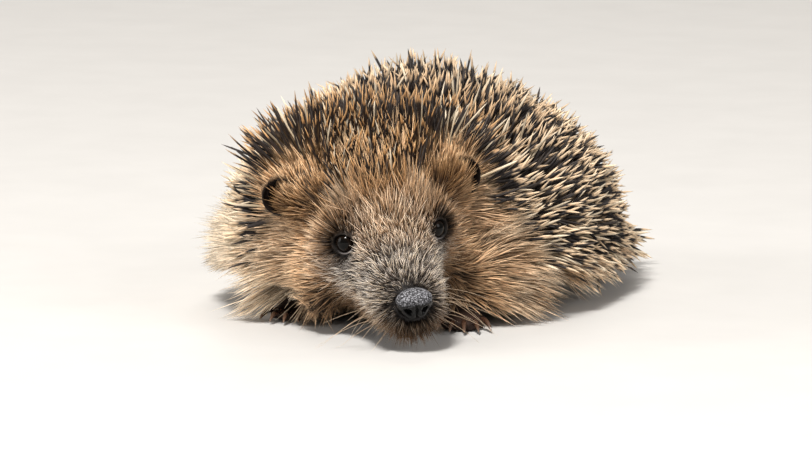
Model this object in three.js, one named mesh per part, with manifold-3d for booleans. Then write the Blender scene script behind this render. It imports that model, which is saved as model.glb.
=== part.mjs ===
// A young European hedgehog, crouched on level ground, its head low and turned to its left.
// Millimetres, +Z up. The trunk lies along Y with the nose towards -Y, so the animal's left is +X.
// The solids are the animal's outer form, out to the tips of its spines and fur: one long body is
// modelled whole and parted with thin cuts, and the ears, eyes, nose, legs, claws and tail fit it.
import * as THREE from "three";
import { mergeVertices } from "three/addons/utils/BufferGeometryUtils.js";
import Module from "manifold-3d";

const wasm = await Module();
wasm.setup();

// ---------- driving dimensions ----------
const GAP = 0.3; // clear space between neighbouring solids
const HALF_GAP = GAP / 2;
const BACK_HEIGHT = 76; // floor to the spine tips at the top of the back
const BELLY_HEIGHT = 3; // floor to the belly fur
const TRUNK_HALF_WIDTH = 59.5;
const WIDEST_HEIGHT = 20; // level of the trunk's greatest width
const RUMP_Y = 95; // rear end of the spines
const HEAD_YAW = THREE.MathUtils.degToRad(36.5); // from straight ahead towards the animal's left
const HEAD_PITCH = THREE.MathUtils.degToRad(15); // nose down
const HEAD_ROLL = THREE.MathUtils.degToRad(7.5); // left side up
const BETWEEN_EYES = new THREE.Vector3(20.5, -72.5, 30.5);
const EYE_RADIUS = 3.1;
const EYE_HALF_SPACING = 13.7;
const NOSE = { forward: 26.3, down: 9.8, deep: 4.2, half: 5.3, high: 4.6 };
const EAR = { forward: -19.5, side: 28.5, up: 10.5, width: 6.6, height: 7.8, depth: 5.2, wall: 1.3 };
const MOUTH = { back: 1, front: 32, level: -16.6 };
const FOREFOOT = { length: 19, half: 6.2, high: 7, toe: 1.9, toeLength: 6, spread: 0.8, claw: 5.2 };
const HINDFOOT = { length: 29, half: 6.2, high: 7, toe: 1.9, toeLength: 6.5, spread: 0.6, claw: 4.8 };
const CLAW_RADIUS = 0.85;
const TOES = 5;
const NAPE = -26; // rear of the head, behind the ears, along the head's own forward line
const STOP = 8; // root of the muzzle, in front of the eyes, along the same line
const WITHERS_Y = -2; // where the shoulders meet the back
const LOIN_Y = 45; // where the back meets the rump
const NECK_Y = -30; // where the neck meets the shoulders, on the middle line
const FAR = 400; // well outside the animal

// ---------- the head's own frame: forward, left and up, from between the eyes ----------
const headForward = new THREE.Vector3(
  Math.sin(HEAD_YAW) * Math.cos(HEAD_PITCH),
  -Math.cos(HEAD_YAW) * Math.cos(HEAD_PITCH),
  -Math.sin(HEAD_PITCH),
);
const headLeft = new THREE.Vector3(Math.cos(HEAD_YAW), Math.sin(HEAD_YAW), 0)
  .applyAxisAngle(headForward, HEAD_ROLL);
const headUp = new THREE.Vector3().crossVectors(headForward, headLeft);
const headMatrix = new THREE.Matrix4()
  .makeBasis(headForward, headLeft, headUp)
  .setPosition(BETWEEN_EYES);
const inHead = (forward, left, up) => new THREE.Vector3(forward, left, up).applyMatrix4(headMatrix);

// ---------- solids ----------
// A closed geometry as a manifold-3d solid, in the place that the matrix gives.
function solidOf(geometry, matrix = new THREE.Matrix4()) {
  const bare = geometry.clone().applyMatrix4(matrix);
  bare.deleteAttribute("normal");
  bare.deleteAttribute("uv");
  const merged = mergeVertices(bare, 1e-4);
  const faces = Array.from(merged.index.array);
  const triVerts = [];
  for (let i = 0; i < faces.length; i += 3) {
    const [a, b, c] = faces.slice(i, i + 3);
    if (a !== b && b !== c && a !== c) triVerts.push(a, b, c);
  }
  return new wasm.Manifold(new wasm.Mesh({
    numProp: 3,
    vertProperties: merged.attributes.position.array,
    triVerts: new Uint32Array(triVerts),
  }));
}

function geometryOf(solid) {
  const mesh = solid.getMesh();
  const corners = new Float32Array(mesh.numVert * 3);
  for (let i = 0; i < mesh.numVert; i++) {
    corners.set(mesh.vertProperties.subarray(i * mesh.numProp, i * mesh.numProp + 3), i * 3);
  }
  const geometry = new THREE.BufferGeometry();
  geometry.setAttribute("position", new THREE.BufferAttribute(corners, 3));
  geometry.setIndex(new THREE.BufferAttribute(mesh.triVerts, 1));
  geometry.computeVertexNormals();
  return geometry;
}

// A box between two corners, in a frame of its own.
function blockOf(low, high, matrix) {
  const size = high.clone().sub(low);
  const middle = high.clone().add(low).multiplyScalar(0.5);
  const box = new THREE.BoxGeometry(size.x, size.y, size.z).translate(middle.x, middle.y, middle.z);
  return solidOf(box, matrix);
}

const UPRIGHT = new THREE.Vector3(0, 0, 1);

// A rounded form along a line of sections. Each section has a centre, half its width, its height above
// and below the centre, and a roll. Sizes are blended by their squares, so that the ends come out round.
// power squares off the lower half, arch sharpens the upper one, and grow makes the form larger all round.
function bodyAlong(sections, sides, rings, { power = 2, arch = 2, grow = 0, upright = UPRIGHT } = {}) {
  const centre = new THREE.CatmullRomCurve3(sections.map((s) => s.at));
  const squares = new THREE.CatmullRomCurve3(
    sections.map((s) => new THREE.Vector3(s.half ** 2, s.above ** 2, s.below ** 2)),
  );
  const rolls = new THREE.CatmullRomCurve3(sections.map((s) => new THREE.Vector3(s.roll ?? 0, 0, 0)));
  const geometry = new THREE.SphereGeometry(1, sides, rings);
  const place = geometry.attributes.position;
  const unit = new THREE.Vector3();
  for (let i = 0; i < place.count; i++) {
    unit.fromBufferAttribute(place, i);
    const along = Math.acos(THREE.MathUtils.clamp(unit.y, -1, 1)) / Math.PI;
    const around = Math.atan2(unit.z, unit.x);
    const pole = along < 1e-6 || along > 1 - 1e-6;
    const t = along - 0.35 * Math.sin(2 * Math.PI * along) / (2 * Math.PI);
    const tangent = centre.getTangent(THREE.MathUtils.clamp(t, 0, 1));
    const across = new THREE.Vector3().crossVectors(upright, tangent).normalize();
    const up = new THREE.Vector3().crossVectors(tangent, across)
      .applyAxisAngle(tangent, rolls.getPoint(t).x);
    across.crossVectors(up, tangent);
    const size = squares.getPoint(t);
    const c = pole ? 0 : Math.cos(around);
    const s = pole ? 0 : Math.sin(around);
    const bend = 2 / (s < 0 ? power : arch);
    const wide = Math.sign(c) * Math.abs(c) ** bend * (Math.sqrt(Math.max(size.x, 0.01)) + grow);
    const reach = Math.sqrt(Math.max(s < 0 ? size.z : size.y, 0.01)) + grow;
    const high = Math.sign(s) * Math.abs(s) ** bend * reach;
    const point = centre.getPoint(t).addScaledVector(across, wide).addScaledVector(up, high);
    if (pole) point.addScaledVector(tangent, along < 0.5 ? -grow : grow);
    place.setXYZ(i, point.x, point.y, point.z);
  }
  return solidOf(geometry);
}

// An oval ball with its own three radii.
function ballOf(radii, matrix, sides, rings) {
  return solidOf(new THREE.SphereGeometry(1, sides, rings).scale(...radii), matrix);
}

// ---------- the whole body: the trunk along Y, with the head let into its front ----------
const headSection = (forward, centre, half, top, bottom) => ({
  at: inHead(forward, 0, centre),
  half,
  above: top - centre,
  below: centre - bottom,
  roll: HEAD_ROLL,
});
const trunkSection = (x, y, centre, half, top, bottom = BELLY_HEIGHT, roll = 0) => ({
  at: new THREE.Vector3(x, y, centre),
  half,
  above: top - centre,
  below: centre - bottom,
  roll,
});
const headForm = (grow) => bodyAlong([
  headSection(28.6, -12, 0, -12, -12),
  headSection(24.5, -12, 7.6, -5.2, -19.2),
  headSection(18, -10.6, 10.6, -2.4, -22.4),
  headSection(10, -8.5, 12.6, 2.6, -24.8),
  headSection(0, -5, 16.2, 10.2, -26.4),
  headSection(-10, -2, 24.8, 17.8, -27),
  headSection(-21, 1, 33.5, 25.5, -27),
  headSection(-32, 1, 33.5, 26, -25),
  headSection(-42, 0, 0, 0, 0),
], 22, 18, { power: 2.3, grow });
const trunkForm = bodyAlong([
  headSection(-16, 0, 0, 0, 0),
  headSection(-25, 1, 33.5, 26, -26),
  trunkSection(2, -42, 31, 46, 67, BELLY_HEIGHT, HEAD_ROLL * 0.5),
  trunkSection(-1, -24, 25, 56, 73.5),
  trunkSection(-1, -4, WIDEST_HEIGHT, TRUNK_HALF_WIDTH, BACK_HEIGHT),
  trunkSection(0, 24, WIDEST_HEIGHT - 1, TRUNK_HALF_WIDTH, BACK_HEIGHT - 5),
  trunkSection(0, 54, WIDEST_HEIGHT - 1, TRUNK_HALF_WIDTH - 9.5, BACK_HEIGHT - 18),
  trunkSection(0, 80, WIDEST_HEIGHT - 1, 35, 41),
  trunkSection(0, RUMP_Y, WIDEST_HEIGHT - 1, 0, WIDEST_HEIGHT - 1, WIDEST_HEIGHT - 1),
], 26, 23, { power: 3.2, arch: 1.87 });
const wholeBody = trunkForm.add(headForm(0));

// ---------- eyes, nose and ears ----------
const sidesOfAnimal = [["left", 1], ["right", -1]];
const eyeAt = (side) => inHead(-1.2, side * EYE_HALF_SPACING, -0.2);
const eyeBalls = sidesOfAnimal.map(([name, side]) => {
  const matrix = new THREE.Matrix4().setPosition(eyeAt(side));
  const opening = new THREE.Vector3(0.8, side * 0.56, 0.2).normalize().transformDirection(headMatrix);
  const turn = new THREE.Matrix4().makeRotationFromQuaternion(
    new THREE.Quaternion().setFromUnitVectors(new THREE.Vector3(0, 0, 1), opening),
  ).setPosition(eyeAt(side));
  const socket = EYE_RADIUS + GAP;
  const well = new THREE.CylinderGeometry(socket * 1.7, socket * 0.8, 14, 8).rotateX(Math.PI / 2);
  return {
    name: `eye_${name}`,
    solid: ballOf([EYE_RADIUS, EYE_RADIUS, EYE_RADIUS], matrix, 12, 8),
    pocket: ballOf([socket, socket, socket], matrix, 12, 8).add(solidOf(well.translate(0, 0, 7.4), turn)),
  };
});

const noseMatrix = headMatrix.clone().multiply(
  new THREE.Matrix4().makeTranslation(NOSE.forward, 0, -NOSE.down),
);
const noseSolid = (grow) => ballOf([NOSE.deep + grow, NOSE.half + grow, NOSE.high + grow], noseMatrix, 12, 8);

// The ear is a thin oval cup that opens forwards and outwards. Its pocket in the body is the same cup,
// filled to a little past its rim.
function earCup(side, grow = 0) {
  const quarter = (radius, steps = 4) => Array.from({ length: steps + 1 }, (_, i) => {
    const angle = (i / steps) * Math.PI / 2;
    return new THREE.Vector2(radius * Math.sin(angle), -radius * Math.cos(angle));
  });
  const lining = grow ? [new THREE.Vector2(0, EAR.wall)] : quarter(1 - EAR.wall / EAR.width).reverse();
  const cup = new THREE.LatheGeometry([...quarter(1), ...lining], 12)
    .scale(EAR.width + grow, EAR.depth + grow, EAR.height + grow);
  const opening = new THREE.Vector3(0.78, side * 0.56, 0.1).normalize();
  const tip = new THREE.Vector3(0, side * 0.35, 1);
  const across = new THREE.Vector3().crossVectors(opening, tip).normalize();
  tip.crossVectors(across, opening);
  const matrix = headMatrix.clone()
    .multiply(new THREE.Matrix4().makeTranslation(EAR.forward, side * EAR.side, EAR.up))
    .multiply(new THREE.Matrix4().makeBasis(across, opening, tip));
  return solidOf(cup, matrix);
}
const ears = sidesOfAnimal.map(([name, side]) => ({
  name: `ear_${name}`,
  solid: earCup(side),
  pocket: earCup(side, GAP),
}));

// ---------- legs, feet and claws ----------
// Each foot stands on a flat sole at floor level and points along its heading.
const feet = [
  { name: "front_left", at: [31, -44], heading: 24, plan: FOREFOOT, hip: [26, -24, 24] },
  { name: "front_right", at: [-21, -48], heading: 12, plan: FOREFOOT, hip: [-24, -26, 24] },
  { name: "hind_left", at: [34, 54], heading: 14, plan: HINDFOOT, hip: [25, 62, 24] },
  { name: "hind_right", at: [-34, 54], heading: -14, plan: HINDFOOT, hip: [-25, 62, 24] },
];

function footParts({ at, heading, plan, hip }) {
  const turn = THREE.MathUtils.degToRad(heading);
  const matrix = new THREE.Matrix4().makeRotationZ(turn).setPosition(at[0], at[1], 0);
  const inFoot = (x, y, z) => new THREE.Vector3(x, y, z).applyMatrix4(matrix);
  const section = (at, half, above, below) => ({ at, half, above, below });
  const back = plan.length * 0.75;
  const palm = bodyAlong([
    section(inFoot(0, -plan.length * 0.32, 2.6), 0, 0, 0),
    section(inFoot(0, -plan.length * 0.12, 2.8), plan.half * 0.95, plan.high * 0.42, 4),
    section(inFoot(0, plan.length * 0.3, 3), plan.half * 0.85, plan.high * 0.6, 4),
    section(inFoot(0, back * 0.8, 3.2), plan.half * 0.7, plan.high * 0.62, 4),
    section(inFoot(0, back, 3.2), 0, 0, 0),
  ], 8, 5);
  const toes = [];
  const claws = [];
  for (let i = 0; i < TOES; i++) {
    const lean = (2 * i) / (TOES - 1) - 1; // -1 and 1 are the outermost toes
    const angle = (lean * plan.spread) / 2;
    const reach = plan.toeLength * (1 - 0.28 * lean * lean);
    const root = [lean * plan.half * 0.72, -plan.length * 0.2 * (1 - 0.45 * lean * lean)];
    const step = (far, z) => inFoot(root[0] + Math.sin(angle) * far, root[1] - Math.cos(angle) * far, z);
    toes.push(bodyAlong([
      section(step(-2.5, 2.4), 0, 0, 0),
      section(step(0, 2.6), plan.toe, plan.toe * 1.05, 3.4),
      section(step(reach * 0.75, 2.4), plan.toe * 0.95, plan.toe, 3.2),
      section(step(reach, 2.2), 0, 0, 0),
    ], 6, 3));
    const claw = (grow) => bodyAlong([
      section(step(reach * 0.7, 2.9), 0, 0, 0),
      section(step(reach * 0.85, 3.0), CLAW_RADIUS, CLAW_RADIUS * 1.2, CLAW_RADIUS * 1.1),
      section(step(reach + plan.claw * 0.5, 2.7), CLAW_RADIUS * 0.7, CLAW_RADIUS * 0.8, CLAW_RADIUS * 0.7),
      section(step(reach + plan.claw, 0.9), 0, 0, 0),
    ], 5, 3, { grow });
    claws.push({ solid: claw(0), pocket: claw(GAP) });
  }
  const front = -plan.length * 0.2 - plan.toeLength - plan.claw;
  const wide = plan.half + 2.2;
  const pocket = bodyAlong([
    section(inFoot(0, front - 2, 3), 0, 0, 0),
    section(inFoot(0, front, 3), wide * 0.9, 3, 6),
    section(inFoot(0, -plan.length * 0.2, 3), wide * 1.1, plan.high * 0.62, 6),
    section(inFoot(0, back * 0.8, 3.2), plan.half + GAP, plan.high * 0.8, 6),
    section(inFoot(0, back + 1, 3.2), 0, 0, 0),
  ], 8, 4);
  const ankle = inFoot(0, back * 0.45, plan.high * 0.75);
  const top = new THREE.Vector3(...hip);
  const onLeg = (share, size) => section(ankle.clone().lerp(top, share), size, size, size);
  const leg = (grow) => bodyAlong([
    onLeg(-0.12, 0),
    onLeg(0.1, plan.half * 0.62),
    onLeg(0.5, plan.half * 0.95),
    onLeg(1, plan.half * 1.3),
    onLeg(1.35, 0),
  ], 8, 5, { grow, upright: new THREE.Vector3(0, 1, 0) });
  return { palm, toes, claws, leg, pocket };
}

// ---------- putting the solids together ----------
const parts = new Map();
const SKIN = { fur: [0.52, 0.41, 0.30], spines: [0.42, 0.35, 0.27], bare: [0.16, 0.12, 0.11] };
const FINISH = {
  fur: new THREE.MeshStandardMaterial({ color: new THREE.Color(...SKIN.fur), roughness: 0.85 }),
  spines: new THREE.MeshStandardMaterial({ color: new THREE.Color(...SKIN.spines), roughness: 0.6 }),
  bare: new THREE.MeshStandardMaterial({ color: new THREE.Color(...SKIN.bare), roughness: 0.5 }),
  claw: new THREE.MeshStandardMaterial({ color: new THREE.Color(0.2, 0.13, 0.1), roughness: 0.3 }),
  eye: new THREE.MeshStandardMaterial({ color: new THREE.Color(0.015, 0.012, 0.01), roughness: 0.05 }),
};
const addPart = (name, solid, finish) => parts.set(name, { solid, finish });
const FLOOR_CUT = blockOf(new THREE.Vector3(-200, -200, -50), new THREE.Vector3(200, 200, 0));

let body = wholeBody;
for (const piece of [...eyeBalls, ...ears]) body = body.subtract(piece.pocket);
body = body.subtract(noseSolid(GAP));

for (const foot of feet) {
  const { palm, toes, claws, leg, pocket } = footParts(foot);
  const legPocket = leg(GAP);
  let paw = palm;
  for (const toe of toes) paw = paw.add(toe);
  for (const claw of claws) paw = paw.subtract(claw.pocket);
  addPart(`foot_${foot.name}`, paw.subtract(FLOOR_CUT).subtract(legPocket), FINISH.bare);
  addPart(`leg_${foot.name}`, leg(0), FINISH.fur);
  claws.forEach((claw, i) => addPart(`claw_${foot.name}_${i + 1}`, claw.solid, FINISH.claw));
  body = body.subtract(legPocket).subtract(pocket);
}

// The tail is a short cone under the rump.
const tailSection = (y, z, half) => ({ at: new THREE.Vector3(0, y, z), half, above: half, below: half });
const tail = (grow) => bodyAlong([
  tailSection(84, 13, 0),
  tailSection(87, 12, 3.2),
  tailSection(94, 8.5, 2.2),
  tailSection(99, 5.5, 0),
], 8, 6, { grow });
body = body.subtract(tail(GAP));
addPart("tail", tail(0), FINISH.fur);

// A block that keeps what lies between two levels of one direction.
function slabAlong(matrix, from, to) {
  return blockOf(new THREE.Vector3(from, -200, -200), new THREE.Vector3(to, 200, 200), matrix);
}
const backwards = new THREE.Matrix4().makeBasis(
  new THREE.Vector3(0, 1, 0),
  new THREE.Vector3(-1, 0, 0),
  new THREE.Vector3(0, 0, 1),
);
const neckPlane = new THREE.Matrix4().makeRotationZ(HEAD_YAW * 0.4).multiply(backwards)
  .setPosition(0, NECK_Y, 0);
const jawBlock = (grow) => blockOf(
  new THREE.Vector3(MOUTH.back - grow, -60, -60),
  new THREE.Vector3(MOUTH.front + grow, 60, MOUTH.level + grow),
  headMatrix,
);
const headSide = body.intersect(headForm(0)).intersect(slabAlong(headMatrix, NAPE + HALF_GAP, FAR));
const trunkSide = body.subtract(headForm(GAP).intersect(slabAlong(headMatrix, NAPE - HALF_GAP, FAR)));
const jawless = headSide.subtract(jawBlock(GAP));
addPart("jaw", headSide.intersect(jawBlock(0)), FINISH.fur);
addPart("muzzle", jawless.intersect(slabAlong(headMatrix, STOP + HALF_GAP, FAR)), FINISH.fur);
addPart("head", jawless.intersect(slabAlong(headMatrix, -FAR, STOP - HALF_GAP)), FINISH.fur);
addPart("neck", trunkSide.intersect(slabAlong(neckPlane, -FAR, -HALF_GAP)), FINISH.spines);
const trunk = trunkSide.intersect(slabAlong(neckPlane, HALF_GAP, FAR));
addPart("shoulders", trunk.intersect(slabAlong(backwards, -FAR, WITHERS_Y - HALF_GAP)), FINISH.spines);
addPart("back", trunk.intersect(slabAlong(backwards, WITHERS_Y + HALF_GAP, LOIN_Y - HALF_GAP)), FINISH.spines);
addPart("rump", trunk.intersect(slabAlong(backwards, LOIN_Y + HALF_GAP, FAR)), FINISH.spines);
for (const { name, solid } of eyeBalls) addPart(name, solid, FINISH.eye);
for (const { name, solid } of ears) addPart(name, solid, FINISH.bare);
addPart("nose", noseSolid(0), FINISH.bare);

// ---------- the model, its origin under the middle of its bounding box ----------
const hedgehog = new THREE.Group();
for (const [name, { solid, finish }] of parts) {
  const mesh = new THREE.Mesh(geometryOf(solid), finish);
  mesh.name = name;
  hedgehog.add(mesh);
}
const bounds = new THREE.Box3().setFromObject(hedgehog);
const middle = bounds.getCenter(new THREE.Vector3());
hedgehog.position.set(-middle.x, -middle.y, -bounds.min.z);

export default hedgehog;
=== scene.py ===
# A young hedgehog, life-size: one skin with lids, lips and ears, glossy eyes, a wet nose pad, horn claws,
# a coat of banded spines over the back, whiskers, and fur on the face, ears, cheeks, skirt, belly and feet.
# Metres in Blender; the shaping below is worked out in millimetres and scaled at the end.
import math
from types import SimpleNamespace

import bmesh
import bpy
import numpy as np
from mathutils import Matrix, Vector, kdtree
from mathutils.bvhtree import BVHTree


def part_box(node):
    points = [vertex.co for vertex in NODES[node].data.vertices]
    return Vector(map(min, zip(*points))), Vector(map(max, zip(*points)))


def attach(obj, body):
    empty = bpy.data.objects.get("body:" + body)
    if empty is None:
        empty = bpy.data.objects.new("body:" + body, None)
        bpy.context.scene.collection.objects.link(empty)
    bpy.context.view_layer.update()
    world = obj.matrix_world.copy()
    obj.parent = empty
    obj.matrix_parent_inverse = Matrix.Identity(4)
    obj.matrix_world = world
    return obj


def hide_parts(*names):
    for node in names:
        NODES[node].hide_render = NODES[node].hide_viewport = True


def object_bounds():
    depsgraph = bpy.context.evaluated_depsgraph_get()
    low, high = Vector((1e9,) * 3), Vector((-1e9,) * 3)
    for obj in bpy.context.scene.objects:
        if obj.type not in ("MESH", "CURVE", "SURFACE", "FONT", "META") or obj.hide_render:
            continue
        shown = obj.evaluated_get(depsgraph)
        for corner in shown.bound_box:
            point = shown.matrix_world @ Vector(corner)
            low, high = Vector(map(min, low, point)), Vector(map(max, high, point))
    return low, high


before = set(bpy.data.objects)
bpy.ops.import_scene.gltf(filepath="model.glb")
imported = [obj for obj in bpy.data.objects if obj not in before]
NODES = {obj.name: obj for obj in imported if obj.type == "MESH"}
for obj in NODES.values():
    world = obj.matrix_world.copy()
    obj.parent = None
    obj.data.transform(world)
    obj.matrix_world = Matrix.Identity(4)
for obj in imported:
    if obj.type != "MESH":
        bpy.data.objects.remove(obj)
CAD_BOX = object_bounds()
MM = 0.001

# ---------- the head's own directions, from between the eyes ----------
HEAD_YAW, HEAD_PITCH, HEAD_ROLL = map(math.radians, (36.5, 15.0, 7.5))
EYE_BEHIND, EYE_BELOW, EYE_ASIDE, EYE_RADIUS = 1.2, 0.2, 13.7, 3.1
NOSE_FORWARD, NOSE_DOWN = 26.3, 9.2
NOSE_SIZE = np.array([4.1, 5.15, 4.35])
SIDES = (1, -1)  # the animal's left, then its right
# each ear's place forward, left and up from between the eyes; they are held a little unevenly
EAR_PLACES = {1: np.array([-17.6, 26.0, 5.9]), -1: np.array([-17.6, -27.2, 8.8])}
MOUTH_LEVEL = -16.6
FEET = ["front_left", "front_right", "hind_left", "hind_right"]
FOOT_BOXES = [[np.array(corner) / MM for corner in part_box(f"foot_{foot}")] for foot in FEET]
LOW_CORNER, HIGH_CORNER = (np.array(corner) / MM for corner in CAD_BOX)


def unit(v):
    return v / np.maximum(np.linalg.norm(v, axis=-1, keepdims=True), 1e-9)


def turned(v, axis, angle):
    return v * math.cos(angle) + np.cross(axis, v) * math.sin(angle) + axis * (axis @ v) * (1 - math.cos(angle))


FORWARD = np.array([
    math.sin(HEAD_YAW) * math.cos(HEAD_PITCH),
    -math.cos(HEAD_YAW) * math.cos(HEAD_PITCH),
    -math.sin(HEAD_PITCH),
])
LEFT = turned(np.array([math.cos(HEAD_YAW), math.sin(HEAD_YAW), 0.0]), FORWARD, HEAD_ROLL)
UP = np.cross(FORWARD, LEFT)
HEAD_AXES = np.array([FORWARD, LEFT, UP])


def middle_of(node):
    low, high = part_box(node)
    return np.array((low + high) / 2) / MM


BETWEEN_EYES = (middle_of("eye_left") + middle_of("eye_right")) / 2 + FORWARD * EYE_BEHIND + UP * EYE_BELOW


def to_head(points):
    return (points - BETWEEN_EYES) @ HEAD_AXES.T


def from_head(coordinates):
    return np.asarray(coordinates, float) @ HEAD_AXES + BETWEEN_EYES


EYES = np.array([from_head([-EYE_BEHIND, side * (EYE_ASIDE - 0.9), -EYE_BELOW]) for side in SIDES])
EYE_OUT = [unit(np.array([0.78, side * 0.57, 0.17])) @ HEAD_AXES for side in SIDES]
NOSE = from_head([NOSE_FORWARD, 0, -NOSE_DOWN])
EARS = np.array([from_head(EAR_PLACES[side]) for side in SIDES])
FACE_CENTRE = from_head([12, 0, -8])


# ---------- small shaping helpers ----------
def smooth(start, end, x):
    t = np.clip((x - start) / (end - start), 0, 1)
    return t * t * (3 - 2 * t)


def hump(x, width):
    return np.exp(-((x / width) ** 2))


def ripple(points, size, seed, waves=7):
    """A smooth wandering value between about -1 and 1, with swells about size mm long."""
    draw = np.random.default_rng(seed)
    way = unit(draw.normal(size=(waves, 3))) * draw.uniform(0.7, 1.5, (waves, 1)) * 2 * math.pi / size
    phase = draw.uniform(0, 2 * math.pi, waves)
    return np.sin(points @ way.T + phase).sum(axis=1) / math.sqrt(waves) * 0.9


def nearest_distance(points, places):
    return np.linalg.norm(points[:, None] - places[None], axis=2).min(axis=1)


# ---------- where the coat changes ----------
def clear_of_eyes(p):
    """Shorter hair on the side of each eye that the hair grows over it from."""
    room = np.ones(len(p))
    for eye in EYES:
        ahead = eye + unit(NOSE - eye) * 2.0
        room = np.minimum(room, smooth(3.0, 7.2, np.linalg.norm(p - ahead, axis=1)))
    return room


def clear_of_ears(p):
    """Shorter hair before the ears, so that their cups show."""
    room = np.ones(len(p))
    for ear, side in zip(EARS, SIDES):
        f, l, u = ((p - ear) @ HEAD_AXES.T).T
        ahead = np.linalg.norm(np.stack([f - 5.5, l + side * 4.0, u * 0.9], 1), axis=1)
        room = np.minimum(room, smooth(8.0, 15, ahead))
    return room


def clear_of_paws(tips):
    """0 for hair tips that would hang over a front paw, 1 for those well clear of it."""
    room = np.ones(len(tips))
    for low, high in FOOT_BOXES[:2]:
        gap = np.maximum(low - [1, 14, 0] - tips, tips - high - [1, 0, 1.5]).max(axis=1)
        room = np.minimum(room, smooth(0, 4, gap))
    return room


def zones(p, n):
    """Weights between 0 and 1 for each kind of coat at skin points p (mm) with normals n."""
    f, l, u = to_head(p).T
    x, y, z = p.T
    from_face = np.linalg.norm(p - FACE_CENTRE, axis=1)
    around = np.degrees(np.arctan2(u + 8, np.abs(l) + 1e-6))
    edge = np.interp(around, [-90, -45, -12, 30, 60, 90], [78, 64, 49, 40, 30.5, 27.5]) + 1.6 * ripple(p, 9, 3)
    behind = smooth(-2.5, 2.5, from_face - edge)
    hem = 13.5 + np.where(x < 0, 16, 9) * hump(y + 45, 26) + 2.5 * ripple(p, 14, 5)
    down = smooth(0.35, 0.75, -n[:, 2])
    foot_gap = np.full(len(p), 99.0)
    for low, high in FOOT_BOXES:
        foot_gap = np.minimum(foot_gap, np.maximum(low - p, p - high).max(axis=1))
    foot = smooth(1.4, 0.2, foot_gap) * smooth(10, 7, z)
    ear_room, ear_gap = clear_of_ears(p), nearest_distance(p, EARS)
    clear = smooth(0.15, 0.5, ear_room) * smooth(6.5, 8.0, ear_gap)
    return SimpleNamespace(
        f=f, l=l, u=u, y=y, z=z, from_face=from_face, down=down, foot=foot, foot_gap=foot_gap,
        spiny=behind * smooth(-3, 3, z - hem) * (1 - down) * (1 - foot) * clear,
        face=(1 - behind) * smooth(64, 52, from_face),
        nose_gap=np.linalg.norm((p - NOSE) @ HEAD_AXES.T / NOSE_SIZE, axis=1),
        eye_gap=nearest_distance(p, EYES), eye_room=clear_of_eyes(p),
        ear_gap=ear_gap, ear_room=ear_room, crowd=1 + 1.6 * (1 - ear_room),
    )


def coat_depth(p, n):
    """How far the skin lies under the tips of the coat, in mm."""
    zone = zones(p, n)
    depth = 7.5 + 4.5 * zone.spiny
    face_depth = 2.6 - 1.4 * smooth(2, 16, zone.f)
    face_depth = face_depth + 3.2 * smooth(20, 34, zone.from_face) * smooth(6, -10, zone.f)
    ahead = zone.face * smooth(58, 40, zone.from_face)
    depth = depth * (1 - ahead) + face_depth * ahead
    belly = zone.down * (1 - zone.face)
    depth = depth * (1 - belly) + 3.5 * belly
    return depth, zone


# ---------- surfaces as arrays ----------
def column(items, field, width, kind):
    """One field of all the items of a mesh, as rows of width values."""
    values = np.empty(len(items) * width, kind)
    items.foreach_get(field, values)
    return values.reshape(-1, width)


class Surface:
    """A mesh of corners p (mm) and polygons, kept as arrays for shaping."""

    def __init__(self, mesh):
        self.p = column(mesh.vertices, "co", 3, np.float32).astype(float) / MM
        self.edges = column(mesh.edges, "vertices", 2, np.int32)
        mesh.calc_loop_triangles()
        self.triangles = column(mesh.loop_triangles, "vertices", 3, np.int32)
        self.valence = np.bincount(self.edges.ravel(), minlength=len(self.p)).astype(float)

    def gather(self, values, index):
        return np.stack([np.bincount(index, values[:, k], len(self.p)) for k in range(3)], axis=1)

    def normals(self):
        a, b, c = (self.p[self.triangles[:, k]] for k in range(3))
        flat = np.cross(b - a, c - a)
        return unit(sum(self.gather(flat, self.triangles[:, k]) for k in range(3)))

    def relax(self, strength, rounds):
        a, b = self.edges.T
        for _ in range(rounds):
            near = self.gather(self.p[b], a) + self.gather(self.p[a], b)
            self.p += (near / self.valence[:, None] - self.p) * np.reshape(strength, (-1, 1))

    def spread(self, value, rounds):
        a, b = self.edges.T
        for _ in range(rounds):
            near = np.bincount(a, value[b], len(self.p)) + np.bincount(b, value[a], len(self.p))
            value = near / self.valence
        return value

    def write(self, mesh):
        mesh.vertices.foreach_set("co", (self.p * MM).astype(np.float32).ravel())
        mesh.update()


def new_object(name, mesh):
    piece = bpy.data.objects.new(name, mesh)
    bpy.context.scene.collection.objects.link(piece)
    return piece


def shade_smooth(mesh):
    mesh.polygons.foreach_set("use_smooth", np.ones(len(mesh.polygons), bool))


def mesh_from(name, corners, faces):
    """A mesh from corners in mm and a list of faces."""
    mesh = bpy.data.meshes.new(name)
    mesh.from_pydata((np.asarray(corners) * MM).tolist(), [], [list(map(int, f)) for f in faces])
    mesh.update()
    shade_smooth(mesh)
    return mesh


def joined_up(mesh, merge=True):
    """Makes one corner of those that share a place, and turns every face outward."""
    bm = bmesh.new()
    bm.from_mesh(mesh)
    if merge:
        bmesh.ops.remove_doubles(bm, verts=bm.verts, dist=1e-6)
    bmesh.ops.recalc_face_normals(bm, faces=bm.faces)
    bm.to_mesh(mesh)
    bm.free()
    shade_smooth(mesh)


def note(mesh, name, values):
    """Keeps one value for each corner of a mesh, for its material to read."""
    attribute = mesh.attributes.new(name, "FLOAT", "POINT")
    attribute.data.foreach_set("value", np.ascontiguousarray(values, np.float32))


def grid_faces(rows, columns, start=0):
    """Quads of a rows x columns grid of corners, whose last column joins the first."""
    faces = []
    for i in range(rows - 1):
        for j in range(columns):
            near, far, k = start + i * columns, start + (i + 1) * columns, (j + 1) % columns
            faces.append([near + j, near + k, far + k, far + j])
    return faces


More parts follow.
